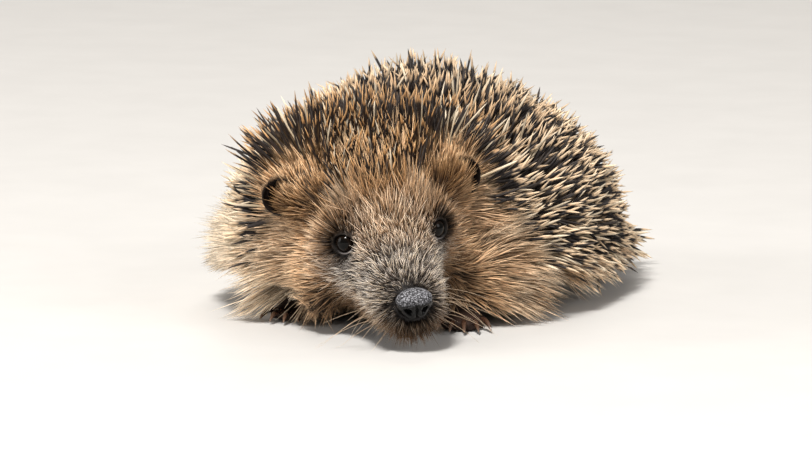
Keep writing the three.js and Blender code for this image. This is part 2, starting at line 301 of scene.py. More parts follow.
def ball_grid(rows, columns):
    """Directions all over a ball, from pole to pole of its first axis, and the faces between them."""
    turns = np.arange(columns) * 2 * math.pi / columns
    polar, turn = np.meshgrid(np.linspace(0, math.pi, rows), turns, indexing="ij")
    ways = np.stack([np.cos(polar), np.sin(polar) * np.cos(turn), np.sin(polar) * np.sin(turn)], axis=-1)
    return ways.reshape(-1, 3), grid_faces(rows, columns)


# ---------- the skin: the flesh solids closed into one, then sunk under the coat ----------
FLESH = ["head", "muzzle", "jaw", "neck", "shoulders", "back", "rump", "tail"]
SKIN_STEP = 1.0
SINK_STEPS = 12


def ball_into(bm, centre, radii, axes=np.eye(3)):
    made = bmesh.ops.create_icosphere(bm, subdivisions=3, radius=1.0)
    for vert in made["verts"]:
        local = np.array(vert.co) * radii
        vert.co = Vector((np.asarray(centre) + local @ axes) * MM)


def closed_body():
    """One closed mesh through all the flesh solids, with the wells of the eyes and ears filled."""
    bm = bmesh.new()
    for node in FLESH + [f"leg_{foot}" for foot in FEET] + [f"foot_{foot}" for foot in FEET]:
        bm.from_mesh(NODES[node].data)
    bmesh.ops.remove_doubles(bm, verts=bm.verts, dist=1e-6)
    for eye in EYES:
        ball_into(bm, eye + (FACE_CENTRE - eye) * 0.06, (5.6, 5.6, 5.6))
    for ear, side in zip(EARS, SIDES):
        ball_into(bm, ear - LEFT * side * 3.6 - UP * 1.5, (7.5, 6.5, 8.0), HEAD_AXES)
    ball_into(bm, NOSE - FORWARD * 1.0, (3.6, 5.2, 4.6), HEAD_AXES)
    # loose skin fills the hollow between cheek and shoulder
    for side in SIDES:
        ball_into(bm, from_head([-13, side * 19, -18]), (13, 8.5, 9), HEAD_AXES)
    mesh = bpy.data.meshes.new("body")
    bm.to_mesh(mesh)
    bm.free()
    solid = new_object("body", mesh)
    close = solid.modifiers.new("close", "REMESH")
    close.mode = "VOXEL"
    close.voxel_size = SKIN_STEP * MM
    graph = bpy.context.evaluated_depsgraph_get()
    skin = bpy.data.meshes.new_from_object(solid.evaluated_get(graph))
    bpy.data.objects.remove(solid)
    bm = bmesh.new()
    bm.from_mesh(skin)
    bm.verts.ensure_lookup_table()
    unseen = set(range(len(bm.verts)))
    largest = []
    while unseen:
        start = unseen.pop()
        island, front = [start], [start]
        while front:
            for edge in bm.verts[front.pop()].link_edges:
                for vert in edge.verts:
                    if vert.index in unseen:
                        unseen.remove(vert.index)
                        island.append(vert.index)
                        front.append(vert.index)
        largest = max(largest, island, key=len)
    keep = set(largest)
    bmesh.ops.delete(bm, geom=[v for v in bm.verts if v.index not in keep], context="VERTS")
    bm.to_mesh(skin)
    bm.free()
    return skin


def refined(mesh, places, cuts=2):
    """Cuts the faces near the given (centre, radius) places more finely."""
    bm = bmesh.new()
    bm.from_mesh(mesh)
    edges = set()
    for face in bm.faces:
        centre = np.array(face.calc_center_median()) / MM
        if any(np.linalg.norm(centre - place) < radius for place, radius in places):
            edges.update(face.edges)
    bmesh.ops.subdivide_edges(bm, edges=list(edges), cuts=cuts, use_grid_fill=True)
    bmesh.ops.triangulate(bm, faces=[f for f in bm.faces if len(f.verts) > 4])
    bm.to_mesh(mesh)
    bm.free()


def thickness_under(mesh, body):
    """How thick the body is under each corner, in mm."""
    tree = BVHTree.FromPolygons([v.co[:] for v in mesh.vertices], [tuple(q.vertices) for q in mesh.polygons])
    inward = -body.normals()
    thick = np.full(len(body.p), 60.0)
    for k, (corner, way) in enumerate(zip(body.p * MM, inward)):
        hit = tree.ray_cast(Vector(corner + way * 2e-4), Vector(way), 0.06)
        if hit[3] is not None:
            thick[k] = hit[3] / MM
    return thick


def sunk_skin():
    mesh = closed_body()
    body = Surface(mesh)
    thick = thickness_under(mesh, body)
    fine = smooth(60, 30, np.linalg.norm(body.p - FACE_CENTRE, axis=1))
    toes = smooth(10, 6, body.p[:, 2])
    for _ in range(6):
        body.relax(0.5 * (1 - 0.6 * fine) * (1 - 0.85 * toes), 8)
    # the lips of the hollow between cheek and shoulder are rounded before the skin is drawn in
    zone = zones(body.p, body.normals())
    hollow = hump(zone.from_face - 42, 13) * smooth(2, -8, zone.u) * (1 - toes)
    body.relax(0.6 * hollow, 140)
    depth, zone = coat_depth(body.p, body.normals())
    depth = np.minimum(body.spread(depth, 150), 0.30 * body.spread(thick, 6))
    depth = body.spread(depth, 12)
    tail_gap = np.linalg.norm((body.p - [0, 95, 9]) / [1, 2, 1.4], axis=1) - 3
    depth = np.minimum(depth, 0.25 + 0.9 * np.maximum(zone.foot_gap, 0))
    depth = np.minimum(depth, 1.2 + 0.9 * np.maximum(tail_gap, 0))
    depth = np.minimum(depth, 2.2 + 0.5 * np.maximum(zone.ear_gap - 7, 0))
    nape = hump(zone.from_face - 52, 16) * (1 - toes)
    for _ in range(SINK_STEPS):
        body.p -= body.normals() * (depth / SINK_STEPS)[:, None]
        body.relax(0.4 * (1 - 0.85 * toes), 2)
        body.relax(0.5 * nape, 6)
    # the scruff bridges the dip between the crown of the head and the back
    zone = zones(body.p, body.normals())
    body.p[:, 2] += 6.0 * body.spread(hump(zone.from_face - 53, 15) * smooth(-6, 8, zone.u), 10)
    body.p[:, 2] = np.maximum(body.p[:, 2], 0.0)
    body.write(mesh)
    return mesh


# ---------- the face: sockets, lids, lips and folds ----------
def shape_eyes(body):
    for eye, out in zip(EYES, EYE_OUT):
        offset = body.p - eye
        height = offset @ out
        flat = offset - height[:, None] * out
        across = unit(np.cross(out, UP))
        rise = np.cross(across, out)
        a, b = flat @ across, flat @ rise
        # the opening is a little longer along the line to the nose than it is high
        radius = np.sqrt((a / 1.12) ** 2 + (b / 0.96) ** 2)
        near = (radius < 7.5) & (height > -6)
        hug = np.sqrt(np.maximum((EYE_RADIUS + 0.12) ** 2 - radius ** 2, 0))
        rim = 2.72 + 0.10 * np.sin(3 * np.arctan2(b, a))
        inside = smooth(rim + 0.05, rim - 0.35, radius)
        lid_top = math.sqrt(EYE_RADIUS ** 2 - 2.6 ** 2) + 0.42
        lid = lid_top + 0.18 * hump(radius - 3.15, 0.5) - 0.10 * hump(radius - 4.05, 0.35)
        lid = lid + 0.22 * smooth(-0.5, 2.5, b) * hump(radius - 3.0, 0.8)
        slope = lid - 0.42 * np.maximum(radius - 3.1, 0)
        blend = smooth(6.8, 3.6, radius)
        target = slope * blend + height * (1 - blend)
        target = target * (1 - inside) + (hug - 1.3) * inside
        crease = 0.3 * hump(radius - 4.6, 0.3) * smooth(-1.0, 1.5, b)
        move = np.where(near, target - height - crease * near, 0.0)
        body.p += move[:, None] * out


def shape_muzzle(body):
    head = to_head(body.p)
    f, l, u = head.T
    out = body.normals()
    forward = smooth(4, 9, f) * smooth(60, 40, np.linalg.norm(body.p - NOSE, axis=1))
    # the mouth line runs back from under the nose and turns up a little at its corner
    line = MOUTH_LEVEL + 0.9 + 1.2 * smooth(16, 5, f)
    groove = -0.75 * hump(u - line, 0.42) * forward
    lips = 0.42 * (hump(u - line - 1.1, 0.75) + 0.7 * hump(u - line + 1.1, 0.8)) * forward
    pads = 0.5 * hump(f - 21, 5) * hump(np.abs(l) - 4.6, 2.6) * hump(u + 13.2, 2.6)
    bridge = -0.25 * hump(l, 2.2) * hump(f - 15, 7) * smooth(-14, -8, u)
    folds = 0.16 * np.sin(f * 2.2 + 0.5 * np.sin(l * 0.8)) * hump(f - 17, 6) * smooth(-15, -9, u)
    body.p += out * (groove + lips + pads + bridge + folds)[:, None]
    # the skin draws in behind the nose pad
    offset = (body.p - NOSE) @ HEAD_AXES.T
    scaled = np.linalg.norm(offset / (NOSE_SIZE + [0.4, 0.1, 0.1]), axis=1)
    tuck = smooth(1.12, 0.8, scaled) * smooth(-3.4, -1.0, offset[:, 0])
    body.p -= FORWARD * (tuck * 2.2)[:, None]


def shape_toes(body):
    wrinkle = 0.07 * np.sin(body.p[:, 1] * 5.0) * smooth(8, 5, body.p[:, 2])
    body.p += body.normals() * wrinkle[:, None]
    body.p[:, 2] = np.maximum(body.p[:, 2], 0.0)


# ---------- ears: a thin cupped shell with a rolled rim and inner folds ----------
def ear_opening(side):
    return unit(np.array([0.88, side * 0.42, 0.12]))


def ear_mesh(side, rings=26, spokes=44):
    """Corners and faces of one ear, as a closed shell whose root is buried in the head."""
    opening = ear_opening(side)
    tip = np.array([0.0, side * 0.35, 1.0])
    across = unit(np.cross(opening, tip))
    tip = np.cross(across, opening)
    frame_axes = np.array([across, tip, opening])
    wide, high, deep = 5.5, 6.2, 4.8

    def shell(inner):
        corners = []
        for i in range(rings):
            s = i / (rings - 1)
            for j in range(spokes):
                turn = 2 * math.pi * j / spokes
                c, t = math.cos(turn), math.sin(turn)
                edge = 1 + 0.06 * math.cos(2 * turn) + 0.05 * t - 0.10 * max(-t, 0) ** 2
                radius = math.sin(s * math.pi / 2) ** 0.8 * edge
                depth = -deep * math.cos(s * math.pi / 2) ** 0.9
                if inner:
                    radius *= 0.92 + 0.02 * s
                    depth = depth * 0.86 + 0.25
                    depth += 0.55 * math.exp(-((s - 0.62) / 0.09) ** 2) * max(0, math.cos(turn - 0.9))
                    depth += 0.45 * math.exp(-((s - 0.42) / 0.08) ** 2) * max(0, math.cos(turn + 2.2))
                    depth -= 1.6 * math.exp(-(s / 0.22) ** 2)
                wave = 0.22 * math.sin(3 * turn + 0.7) * s ** 3
                flare = 0.5 * s ** 6
                corners.append([radius * wide * c * (1 + 0.06 * flare), radius * high * t, depth + wave + flare])
        return corners

    corners = np.array(shell(False) + shell(True))
    half = rings * spokes
    faces = [face[::-1] for face in grid_faces(rings, spokes)] + grid_faces(rings, spokes, half)
    rim = half - spokes
    for j in range(spokes):
        k = (j + 1) % spokes
        faces.append([rim + k, rim + j, half + rim + j, half + rim + k])
    return from_head(corners @ frame_axes + EAR_PLACES[side]), faces


def add_ears(mesh):
    bm = bmesh.new()
    bm.from_mesh(mesh)
    for side in SIDES:
        ear = mesh_from("ear", *ear_mesh(side))
        joined_up(ear)
        bm.from_mesh(ear)
        bpy.data.meshes.remove(ear)
    bm.to_mesh(mesh)
    bm.free()


skin_mesh = sunk_skin()
refined(skin_mesh, [(eye + out * 2, 8.2) for eye, out in zip(EYES, EYE_OUT)])
refined(skin_mesh, [(NOSE - FORWARD * 4, 10.5)], cuts=1)
body = Surface(skin_mesh)
shape_eyes(body)
shape_muzzle(body)
shape_toes(body)
body.write(skin_mesh)
ground_mesh = skin_mesh.copy()
ground_mesh.update()
add_ears(skin_mesh)
shade_smooth(skin_mesh)
skin = new_object("skin", skin_mesh)
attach(skin, "root")
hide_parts(*FLESH, "ear_left", "ear_right", *(f"{part}_{foot}" for part in ("leg", "foot") for foot in FEET))


# ---------- growing the coat ----------
# The unwrap that the coat's colours are kept on runs along the body from nose to tail, and around it.
SPINE_LINE = np.array([
    from_head([31, 0, -13]), from_head([0, 0, -8]), from_head([-25, 0, -2]),
    [0.0, -22, 27], [0, 20, 29], [0, 60, 24], [0, 98, 18],
])
TUFT_PATCH = 0.003
MOST_TRIANGLES = 190000
FLOOR_GAP = 0.35


def unwrap_of(points):
    """Each point's place on the skin's own unwrap: across is the turn about the body, up is the way along."""
    best, along, turn = np.full(len(points), 1e9), np.zeros(len(points)), np.zeros(len(points))
    lengths = np.linalg.norm(np.diff(SPINE_LINE, axis=0), axis=1)
    starts = np.concatenate([[0], np.cumsum(lengths)])
    for k, length in enumerate(lengths):
        way = (SPINE_LINE[k + 1] - SPINE_LINE[k]) / length
        offset = points - SPINE_LINE[k]
        far = np.clip(offset @ way, 0, length)
        away = offset - far[:, None] * way
        gap = np.linalg.norm(away, axis=1)
        side = unit(np.cross(way, [0, 0, 1.0]))
        before = np.minimum(offset @ way, 0) * (0.5 if k == 0 else 0)
        closer = gap < best
        best = np.where(closer, gap, best)
        along = np.where(closer, starts[k] + far + before, along)
        turn = np.where(closer, np.arctan2(away @ side, away @ np.cross(side, way)), turn)
    v = (along + 8) / (starts[-1] + 16)
    u = turn / (2 * math.pi) + 0.5
    return np.stack([0.004 + 0.988 * u, 0.004 + 0.988 * np.clip(v, 0, 1)], axis=1)


class Ground:
    """A mesh that hairs grow from: its triangles, their areas and what kind of coat each one carries."""

    def __init__(self, mesh):
        mesh.calc_loop_triangles()
        self.corners = column(mesh.vertices, "co", 3, np.float32).astype(float) / MM
        self.normals = column(mesh.vertices, "normal", 3, np.float32).astype(float)
        self.index = column(mesh.loop_triangles, "vertices", 3, np.int32)
        a, b, c = (self.corners[self.index[:, k]] for k in range(3))
        flat = np.cross(b - a, c - a)
        self.area = np.linalg.norm(flat, axis=1) / 2
        self.zone = zones((a + b + c) / 3, unit(flat))

    def roots(self, density, seed):
        """Random roots and normals; density is hairs per square mm for each triangle."""
        draw = np.random.default_rng(seed)
        wanted = self.area * density
        count = int(wanted.sum())
        pick = self.index[draw.choice(len(wanted), count, p=wanted / wanted.sum())]
        s, t = draw.random(count), draw.random(count)
        flip = s + t > 1
        s, t = np.where(flip, 1 - s, s)[:, None], np.where(flip, 1 - t, t)[:, None]
        a, b, c = (self.corners[pick[:, k]] for k in range(3))
        na, nb, nc = (self.normals[pick[:, k]] for k in range(3))
        return a * (1 - s - t) + b * s + c * t, unit(na * (1 - s - t) + nb * s + nc * t)


def lie_of_coat(p, n, zone, bridge=0.0):
    """The way the coat lies along the skin: back from the nose, parted around the eyes, down at the skirt."""
    way = unit(p - from_head([21, 0, -10]))
    way[:, 1] += 0.5 * smooth(45, 80, zone.from_face)
    skirt = smooth(34, 14, zone.z) * smooth(34, 50, zone.from_face)
    ahead = smooth(-10, -40, zone.y)[:, None]
    way += skirt[:, None] * (unit(p * [1, 0.35, 0]) * (0.5 + 0.3 * ahead) + [0, 0, -0.75] * (1 - 0.55 * ahead))
    for place, width, push in [(eye, 6.5, 1.6) for eye in EYES] + [(ear, 10.0, 0.6) for ear in EARS]:
        gap = p - place
        way += unit(gap) * (push * hump(np.linalg.norm(gap, axis=1), width))[:, None]
    # where the body turns away under the coat, long hair carries straight on over the hollow
    way = unit(way)
    away = (way * n).sum(axis=1, keepdims=True)
    return unit(way - n * np.where(away > 0, away * (1 - bridge), away))


def tuft_mesh(name, centres, widths, sides, along):
    """One mesh of closed tapered tufts: centres [tufts, levels, 3] in mm, a width for each level but the tip."""
    count, levels, _ = centres.shape
    rings = levels - 1
    axis = unit(np.diff(centres, axis=1))
    aside = np.where(np.abs(axis[:, :1, 2:3]) > 0.9, [1.0, 0, 0], [0, 0, 1.0])
    across = unit(np.cross(axis[:, :1], aside))
    across = unit(across - axis * (across * axis).sum(axis=2, keepdims=True))
    other = np.cross(axis, across)
    turn = 2 * math.pi * np.arange(sides)[:, None] / sides
    ring = across[:, :, None] * np.cos(turn) + other[:, :, None] * np.sin(turn)
    body = centres[:, :rings, None] + ring * widths[:, :, None, None] / 2
    corners = np.concatenate([body.reshape(count, -1, 3), centres[:, -1:]], axis=1)
    corners[..., 2] = np.maximum(corners[..., 2], FLOOR_GAP)
    tip = rings * sides
    ends = [[tip - sides + j, tip - sides + (j + 1) % sides, tip] for j in range(sides)]
    faces = grid_faces(rings, sides) + ends + [list(range(sides))[::-1]]
    loops = np.concatenate(faces)
    sizes = np.tile([len(face) for face in faces], count)
    mesh = bpy.data.meshes.new(name)
    mesh.vertices.add(count * (tip + 1))
    mesh.vertices.foreach_set("co", (corners * MM).astype(np.float32).ravel())
    mesh.loops.add(count * len(loops))
    index = (tip + 1) * np.arange(count)[:, None] + loops
    mesh.loops.foreach_set("vertex_index", index.astype(np.int32).ravel())
    mesh.polygons.add(len(sizes))
    mesh.polygons.foreach_set("loop_start", np.append(0, np.cumsum(sizes)[:-1]).astype(np.int32))
    mesh.update(calc_edges=True)
    shade_smooth(mesh)
    far = np.append(np.repeat(along[:rings], sides), 1.0)
    note(mesh, "along", np.tile(far, count))
    spin = np.append(np.tile(np.arange(sides) / (sides - 1), rings), 0.5)
    patch = np.stack([spin[loops] - 0.5, far[loops] - 0.5], axis=1) * TUFT_PATCH
    uv = unwrap_of(centres[:, 0])[:, None] + patch
    mesh.uv_layers.new(name="OFBake").data.foreach_set("uv", uv.astype(np.float32).ravel())
    return mesh


def make_tufts(name, centres, widths, sides, along, marks, material):
    """One or more objects of tufts, each under the limit of triangles, cut into lengths along the body."""
    count, levels, _ = centres.shape
    parts = max(1, math.ceil(count * (2 * sides * (levels - 1) - 2) / MOST_TRIANGLES))
    for k, chosen in enumerate(np.array_split(np.argsort(centres[:, 0, 1], kind="stable"), parts)):
        label = name if parts == 1 else f"{name}_{k + 1}"
        chosen = np.sort(chosen)
        mesh = tuft_mesh(label, centres[chosen], widths[chosen], sides, along)
        for mark, values in marks.items():
            note(mesh, mark, np.repeat(values[chosen], len(mesh.vertices) // len(chosen)))
        mesh.materials.append(material)
        piece = new_object(label, mesh)
        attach(piece, "root")


def spaced(points, gap, seed):
    """Indices of points that keep at least gap (one value each) from those taken before them."""
    tree = kdtree.KDTree(len(points))
    for k, point in enumerate(points):
        tree.insert(point, k)
    tree.balance()
    taken = np.zeros(len(points), bool)
    barred = np.zeros(len(points), bool)
    for k in np.random.default_rng(seed).permutation(len(points)):
        if barred[k]:
            continue
        taken[k] = True
        for _, other, _ in tree.find_range(points[k], gap[k]):
            barred[other] = True
    return np.flatnonzero(taken)


def beside_face(zone, place, width):
    """1 at a place (forward, aside, up) on both sides of the face, fading over width mm."""
    gap = np.stack([zone.f, np.abs(zone.l), zone.u], axis=1) - place
    return hump(np.linalg.norm(gap, axis=1), width)


def colour_marks(zone, p, draw):
    """How grey, golden, pale and dark each tuft is, with painted shade on the hair under the mouth and chin."""
    f, l, u, z, far = zone.f, zone.l, zone.u, zone.z, zone.from_face
    drift = ripple(p, 11, 21)
    muzzle = (0.35 + 0.6 * smooth(6, 15, f)) * smooth(-6, 6, f + 1.5 * drift) * zone.face * smooth(36, 26, far)
    under_eye = beside_face(zone, [3, 13.5, -7], 8.5)
    eye_ring = smooth(4.3, 3.4, zone.eye_gap)
    grey = np.clip(0.95 * muzzle + 0.85 * under_eye + 0.5 * eye_ring, 0, 1)
    # chin: the hair under the mouth, reddish-brown (more gold, less grey), and darkened as painted shade through its
    # tone
    chin = smooth(-12, -17.5, u) * zone.face * smooth(24, 12, np.abs(l))
    grey = grey * (1 - 0.85 * chin)
    gold = smooth(-1, 6, u) * smooth(7, -3, f) * zone.face * (0.95 + 0.35 * drift)
    warm = 0.12 * smooth(10, -4, u) * smooth(28, 40, far) * smooth(-5, 15, p[:, 0])
    gold = np.clip(gold + 0.8 * chin + warm, 0, 1)
    brow = 0.8 * beside_face(zone, [-7, 11, 8], 3.6)
    low = smooth(38, 16, z) * smooth(38, 60, far)
    flank = 1.5 * smooth(14, 30, -p[:, 0]) * smooth(58, 40, z) * smooth(30, 46, far)
    neck = hump(far - 54, 16) * smooth(6, -4, u)
    pale = np.maximum(np.maximum(low, flank), neck) * (0.75 + 0.3 * drift) + 0.9 * brow
    pale = pale * (1 - 0.35 * smooth(-5, 15, p[:, 0])) + 0.5 * zone.down * (1 - zone.face)
    dark = np.clip(eye_ring + 0.35 * hump(zone.nose_gap - 1.2, 0.4), 0, 1)
    # tone differs at random from tuft to tuft; under the chin it is lowered as painted shade
    tone = draw.random(len(p)) * (1 - 0.78 * chin)
    return {"grey": grey, "gold": gold, "pale": np.clip(pale, 0, 1), "dark": dark, "tone": tone}


def kept_by_box(p, tips, draw):
    """How much of its length each tuft keeps so that its tip stays close to the body's own box."""
    spare = draw.uniform(-0.5, 1.9, (len(p), 1))
    reach = tips - p
    room = np.where(reach > 0, HIGH_CORNER + spare - p, p - LOW_CORNER + spare) / np.maximum(np.abs(reach), 1e-6)
    return np.clip(room.min(axis=1), 0.3, 1)


def raised(way, n, lift):
    """The way, lifted off the skin by an angle."""
    return way * np.cos(lift)[:, None] + n * np.sin(lift)[:, None]


def along_each(ways, far):
    """Each tuft's way (mm) at each of the levels."""
    return ways[:, None] * far[:, None]


SPINE_ROOTS = 3.4  # tried for each square mm, before they are spaced
SPINE_GAP, SPINE_LENGTH, SPINE_WIDTH, SPINE_LIFT = 1.34, 17.5, 0.80, 33
SPINE_LEVELS = np.array([0, 0.07, 0.30, 0.60, 0.80, 0.91, 1.0])
SPINE_TAPER = [0.5, 0.85, 1.0, 1.0, 0.92, 0.52]


def grow_spines(name, ground, seed):
    """Banded spines over the back and crown, shorter and finer at the edge above the face."""
    p, n = ground.roots(SPINE_ROOTS * smooth(0.3, 0.6, ground.zone.spiny), seed)
    draw = np.random.default_rng(seed + 1)

    def crown_edge(zone, start, end):
        return smooth(start, end, zone.from_face - 31) * smooth(0, 12, zone.u)

    gap = (SPINE_GAP - 0.27 * crown_edge(zones(p, n), 38, 8)) * draw.uniform(0.9, 1.1, len(p))
    chosen = spaced(p, gap, seed + 2)
    p, n = p[chosen], n[chosen]
    zone, count = zones(p, n), len(chosen)
    fringe, fine = crown_edge(zone, 17, 2), crown_edge(zone, 38, 8)
    low = smooth(40, 14, p[:, 2])
    way = lie_of_coat(p, n, zone)
    side = np.cross(n, way)
    swing = draw.normal(0, math.radians(19), count) + math.radians(15) * ripple(p, 20, seed + 3)
    way = raised(way, side, swing)
    crown = smooth(85, 50, zone.from_face)
    way = raised(way, n, np.radians(SPINE_LIFT + 21 * crown - 8 * low - 6 * fringe + draw.normal(0, 7.5, count)))
    length = (SPINE_LENGTH - 5.5 * fringe - 2.0 * low) * draw.uniform(0.86, 1.1, count)
    length = (length * kept_by_box(p, p + way * length[:, None], draw))[:, None]
    bend = (0.05 * side * draw.normal(0, 1, (count, 1)) - 0.05 * n) * length
    centres = (p - n * 0.8)[:, None] + along_each(way * length, SPINE_LEVELS) + along_each(bend, SPINE_LEVELS ** 2)
    thick = (SPINE_WIDTH - 0.30 * fine) * draw.uniform(0.85, 1.12, count)
    marks = colour_marks(zone, p, draw)
    marks["gold"] = np.clip(fringe + 0.9 * smooth(96, 58, zone.from_face) * smooth(38, 50, p[:, 2]), 0, 1)
    marks["tone"] = np.clip(marks["tone"] - 0.30 * smooth(48, 66, p[:, 2]), 0, 1)
    near_cheek = smooth(-18, -34, p[:, 0]) * smooth(84, 62, zone.from_face)
    marks["dark"] = (draw.random(count) < 0.10 + 0.14 * fine) * (near_cheek < 0.3)
    marks["pale"] = (draw.random(count) < 0.10 + 0.15 * low + 3.0 * near_cheek) * (1 - marks["dark"])
    make_tufts(name, centres, thick[:, None] * SPINE_TAPER, 5, SPINE_LEVELS, marks, spine_coat)


# how far along a hair its levels are, and how thick it is at each but the tip
FUR_SHAPES = {
    3: (np.array([0, 0.34, 0.7, 1.0]), [0.85, 1.0, 0.62]),
    2: (np.array([0, 0.5, 1.0]), [0.9, 0.85]),
}


def grow_fur(name, ground, density, seed, style, rings=3, lie=None, shadow=1.0):
    """Fur over part of the ground. style gives each hair's length, width, lift, clump size and droop."""
    p, n = ground.roots(density(ground.zone), seed)
    zone, count = zones(p, n), len(p)
    draw = np.random.default_rng(seed + 1)
    length, width, lift, clump, droop = style(zone, draw)
    # about half is fine undercoat, darker partly in its own colour and partly as painted shade within the coat; the
    # rest is longer, coarser and pale at the tip, with a few strays
    under = draw.random(count) < 0.6 - 0.12 * smooth(26, 40, zone.from_face)
    stray = ~under & (draw.random(count) < 0.2 * smooth(32, 24, zone.from_face) * smooth(7, 10, zone.eye_gap))
    length = np.where(under, 0.6, np.where(stray, 1.45, 1.0)) * length
    width = np.where(under, 0.9, np.where(stray, 0.82, 1.0)) * width
    way = lie(n) if lie else lie_of_coat(p, n, zone, 0.75)
    wild = 0.13 + 0.26 * smooth(27, 19, zone.from_face) + 0.3 * stray
    swing = 0.20 * ripple(p, 9, seed + 2) + draw.normal(0, 1, count) * wild
    way = unit(way + np.cross(n, way) * swing[:, None])
    way = raised(way, n, np.radians(lift + np.where(under, -4, 4) + draw.normal(0, 6, count)))
    for _ in range(3):
        length = length * (0.55 + 0.45 * clear_of_paws(p + way * length[:, None]))
    length = (length * kept_by_box(p, p + way * length[:, None], draw))[:, None]
    # the tips lean together in clumps
    tips = p + way * length
    leaders = spaced(p, np.broadcast_to(clump, count), seed + 3)
    tree = kdtree.KDTree(len(leaders))
    for k, leader in enumerate(leaders):
        tree.insert(p[leader], k)
    tree.balance()
    nearest = leaders[[tree.find(point)[1] for point in p]]
    pulled = (tips[nearest] - tips) * draw.uniform(0.0, 0.45, count)[:, None]
    pulled *= np.minimum(1, 0.5 * length / np.maximum(np.linalg.norm(pulled, axis=1, keepdims=True), 1e-6))
    down = np.array([0, 0, -1.0]) * np.reshape(droop, (-1, 1)) * length - n * 0.08 * length
    along, taper = FUR_SHAPES[rings]
    centres = (p - n * 0.35)[:, None] + along_each(way * length, along)
    centres = centres + along_each(pulled, along ** 1.6) + along_each(down, along ** 2)
    marks = colour_marks(zone, p, draw)
    tone = 0.75 * marks["tone"] + 0.25 * marks["tone"][nearest]
    # the undercoat's darkness: partly its own colour, partly painted shade between the longer hairs
    shade = 0.18 + 0.14 * smooth(24, 34, zone.from_face) + 0.8 * marks["pale"]
    tone = np.where(under, shade * tone, 0.15 + 0.85 * tone)
    tone *= 1 - 0.28 * marks["gold"] * smooth(-4, 4, zone.u)
    above_mouth = smooth(-17, -11, zone.u)
    marks["pale"] = np.where(stray, 0.5 * smooth(-4, 7, zone.f) * above_mouth, marks["pale"])
    marks["tone"] = np.where(stray, 0.3 + 0.6 * above_mouth, tone) * shadow
    make_tufts(name, centres, width[:, None] * taper, 3, along, marks, fur_coat)


def face_style(zone, draw):
    far, count = zone.from_face, len(zone.f)
    reach = np.interp(far, [12, 15, 19, 24, 29, 36, 44, 54], [3.4, 5.4, 7.4, 9.0, 10.4, 12.5, 15.5, 17.0])
    reach = reach * (1 + 0.15 * smooth(0, 14, zone.u) * smooth(18, 26, far))
    short = np.minimum(zone.eye_room, 0.25 + 0.75 * smooth(0.9, 2.4, zone.nose_gap))
    crossing = draw.random(count) < 0.13
    short = np.minimum(short, np.where(crossing, 0.75, 0.30 + 0.70 * zone.ear_room))
    length = reach * (0.32 + 0.68 * short) * draw.uniform(0.72, 1.18, count)
    width = np.interp(length, [1, 5, 10], [0.12, 0.19, 0.35]) * draw.uniform(0.75, 1.2, count)
    cheek = smooth(4, -8, zone.u) * smooth(20, 32, far)
    beside = smooth(4, 9, np.abs(zone.l)) * smooth(30, 22, far)
    brow = smooth(2, 9, zone.u) * smooth(20, 28, far)
    lift = 15 + 11 * cheek + 9 * beside - 8 * brow + 6 * smooth(3.0, 1.5, zone.nose_gap)
    lift = 7 + lift * (0.15 + 0.85 * zone.ear_room)
    return length, width, lift, 1.3 + 0.07 * far, 0.03 + 0.03 * cheek


def even_style(lengths, widths, lift, clump, droop, reach=lambda zone: 1.0, rise=0):
    """Hair of one kind. lengths and widths are ranges, reach scales the lengths by place, and rise is added
    to lift away from the ears."""
    def style(zone, draw):
        length = draw.uniform(*lengths, len(zone.f)) * reach(zone)
        return length, draw.uniform(*widths, len(zone.f)), lift + rise * zone.ear_room, clump, droop
    return style


def paw_room(zone):
    return 0.18 + 0.82 * smooth(3, 19, zone.foot_gap)


# long fine bristles lead from the forehead into the spines
brow_style = even_style((0.75, 1.12), (0.25, 0.38), 8, 2.6, 0.01, lambda zone: np.interp(
    zone.from_face, [20, 26, 34], [8.5, 13.0, 15.0]) * (0.4 + 0.6 * zone.ear_room), 18)
cheek_style = even_style((0.7, 1.15), (0.26, 0.42), 8, 3.6, 0.05, lambda zone: np.interp(
    zone.from_face, [36, 48, 64], [14, 17, 18]) * (0.35 + 0.65 * zone.ear_room) * paw_room(zone), 19)
skirt_style = even_style((0.65, 1.0), (0.28, 0.44), 24, 3.8, 0.07, lambda zone: np.interp(
    zone.y, [-40, 0, 60], [16, 14, 11]) * paw_room(zone))
ear_style = even_style((1.6, 3.4), (0.14, 0.24), 22, 1.2, 0)
belly_style = even_style((4, 7), (0.26, 0.36), 16, 3.0, 0)
foot_style = even_style((1.2, 2.4), (0.16, 0.22), 20, 1.4, 0.03)


ground = Ground(ground_mesh)


# ---------- materials ----------
def add_node(tree, kind, inputs, **settings):
    """A new node. Each input is a value, or another node's output to link."""
    node = tree.nodes.new(kind)
    for label, value in settings.items():
        setattr(node, label, value)
    for label, value in inputs.items():
        if hasattr(value, "is_linked"):
            tree.links.new(value, node.inputs[label])
        else:
            node.inputs[label].default_value = value
    return node


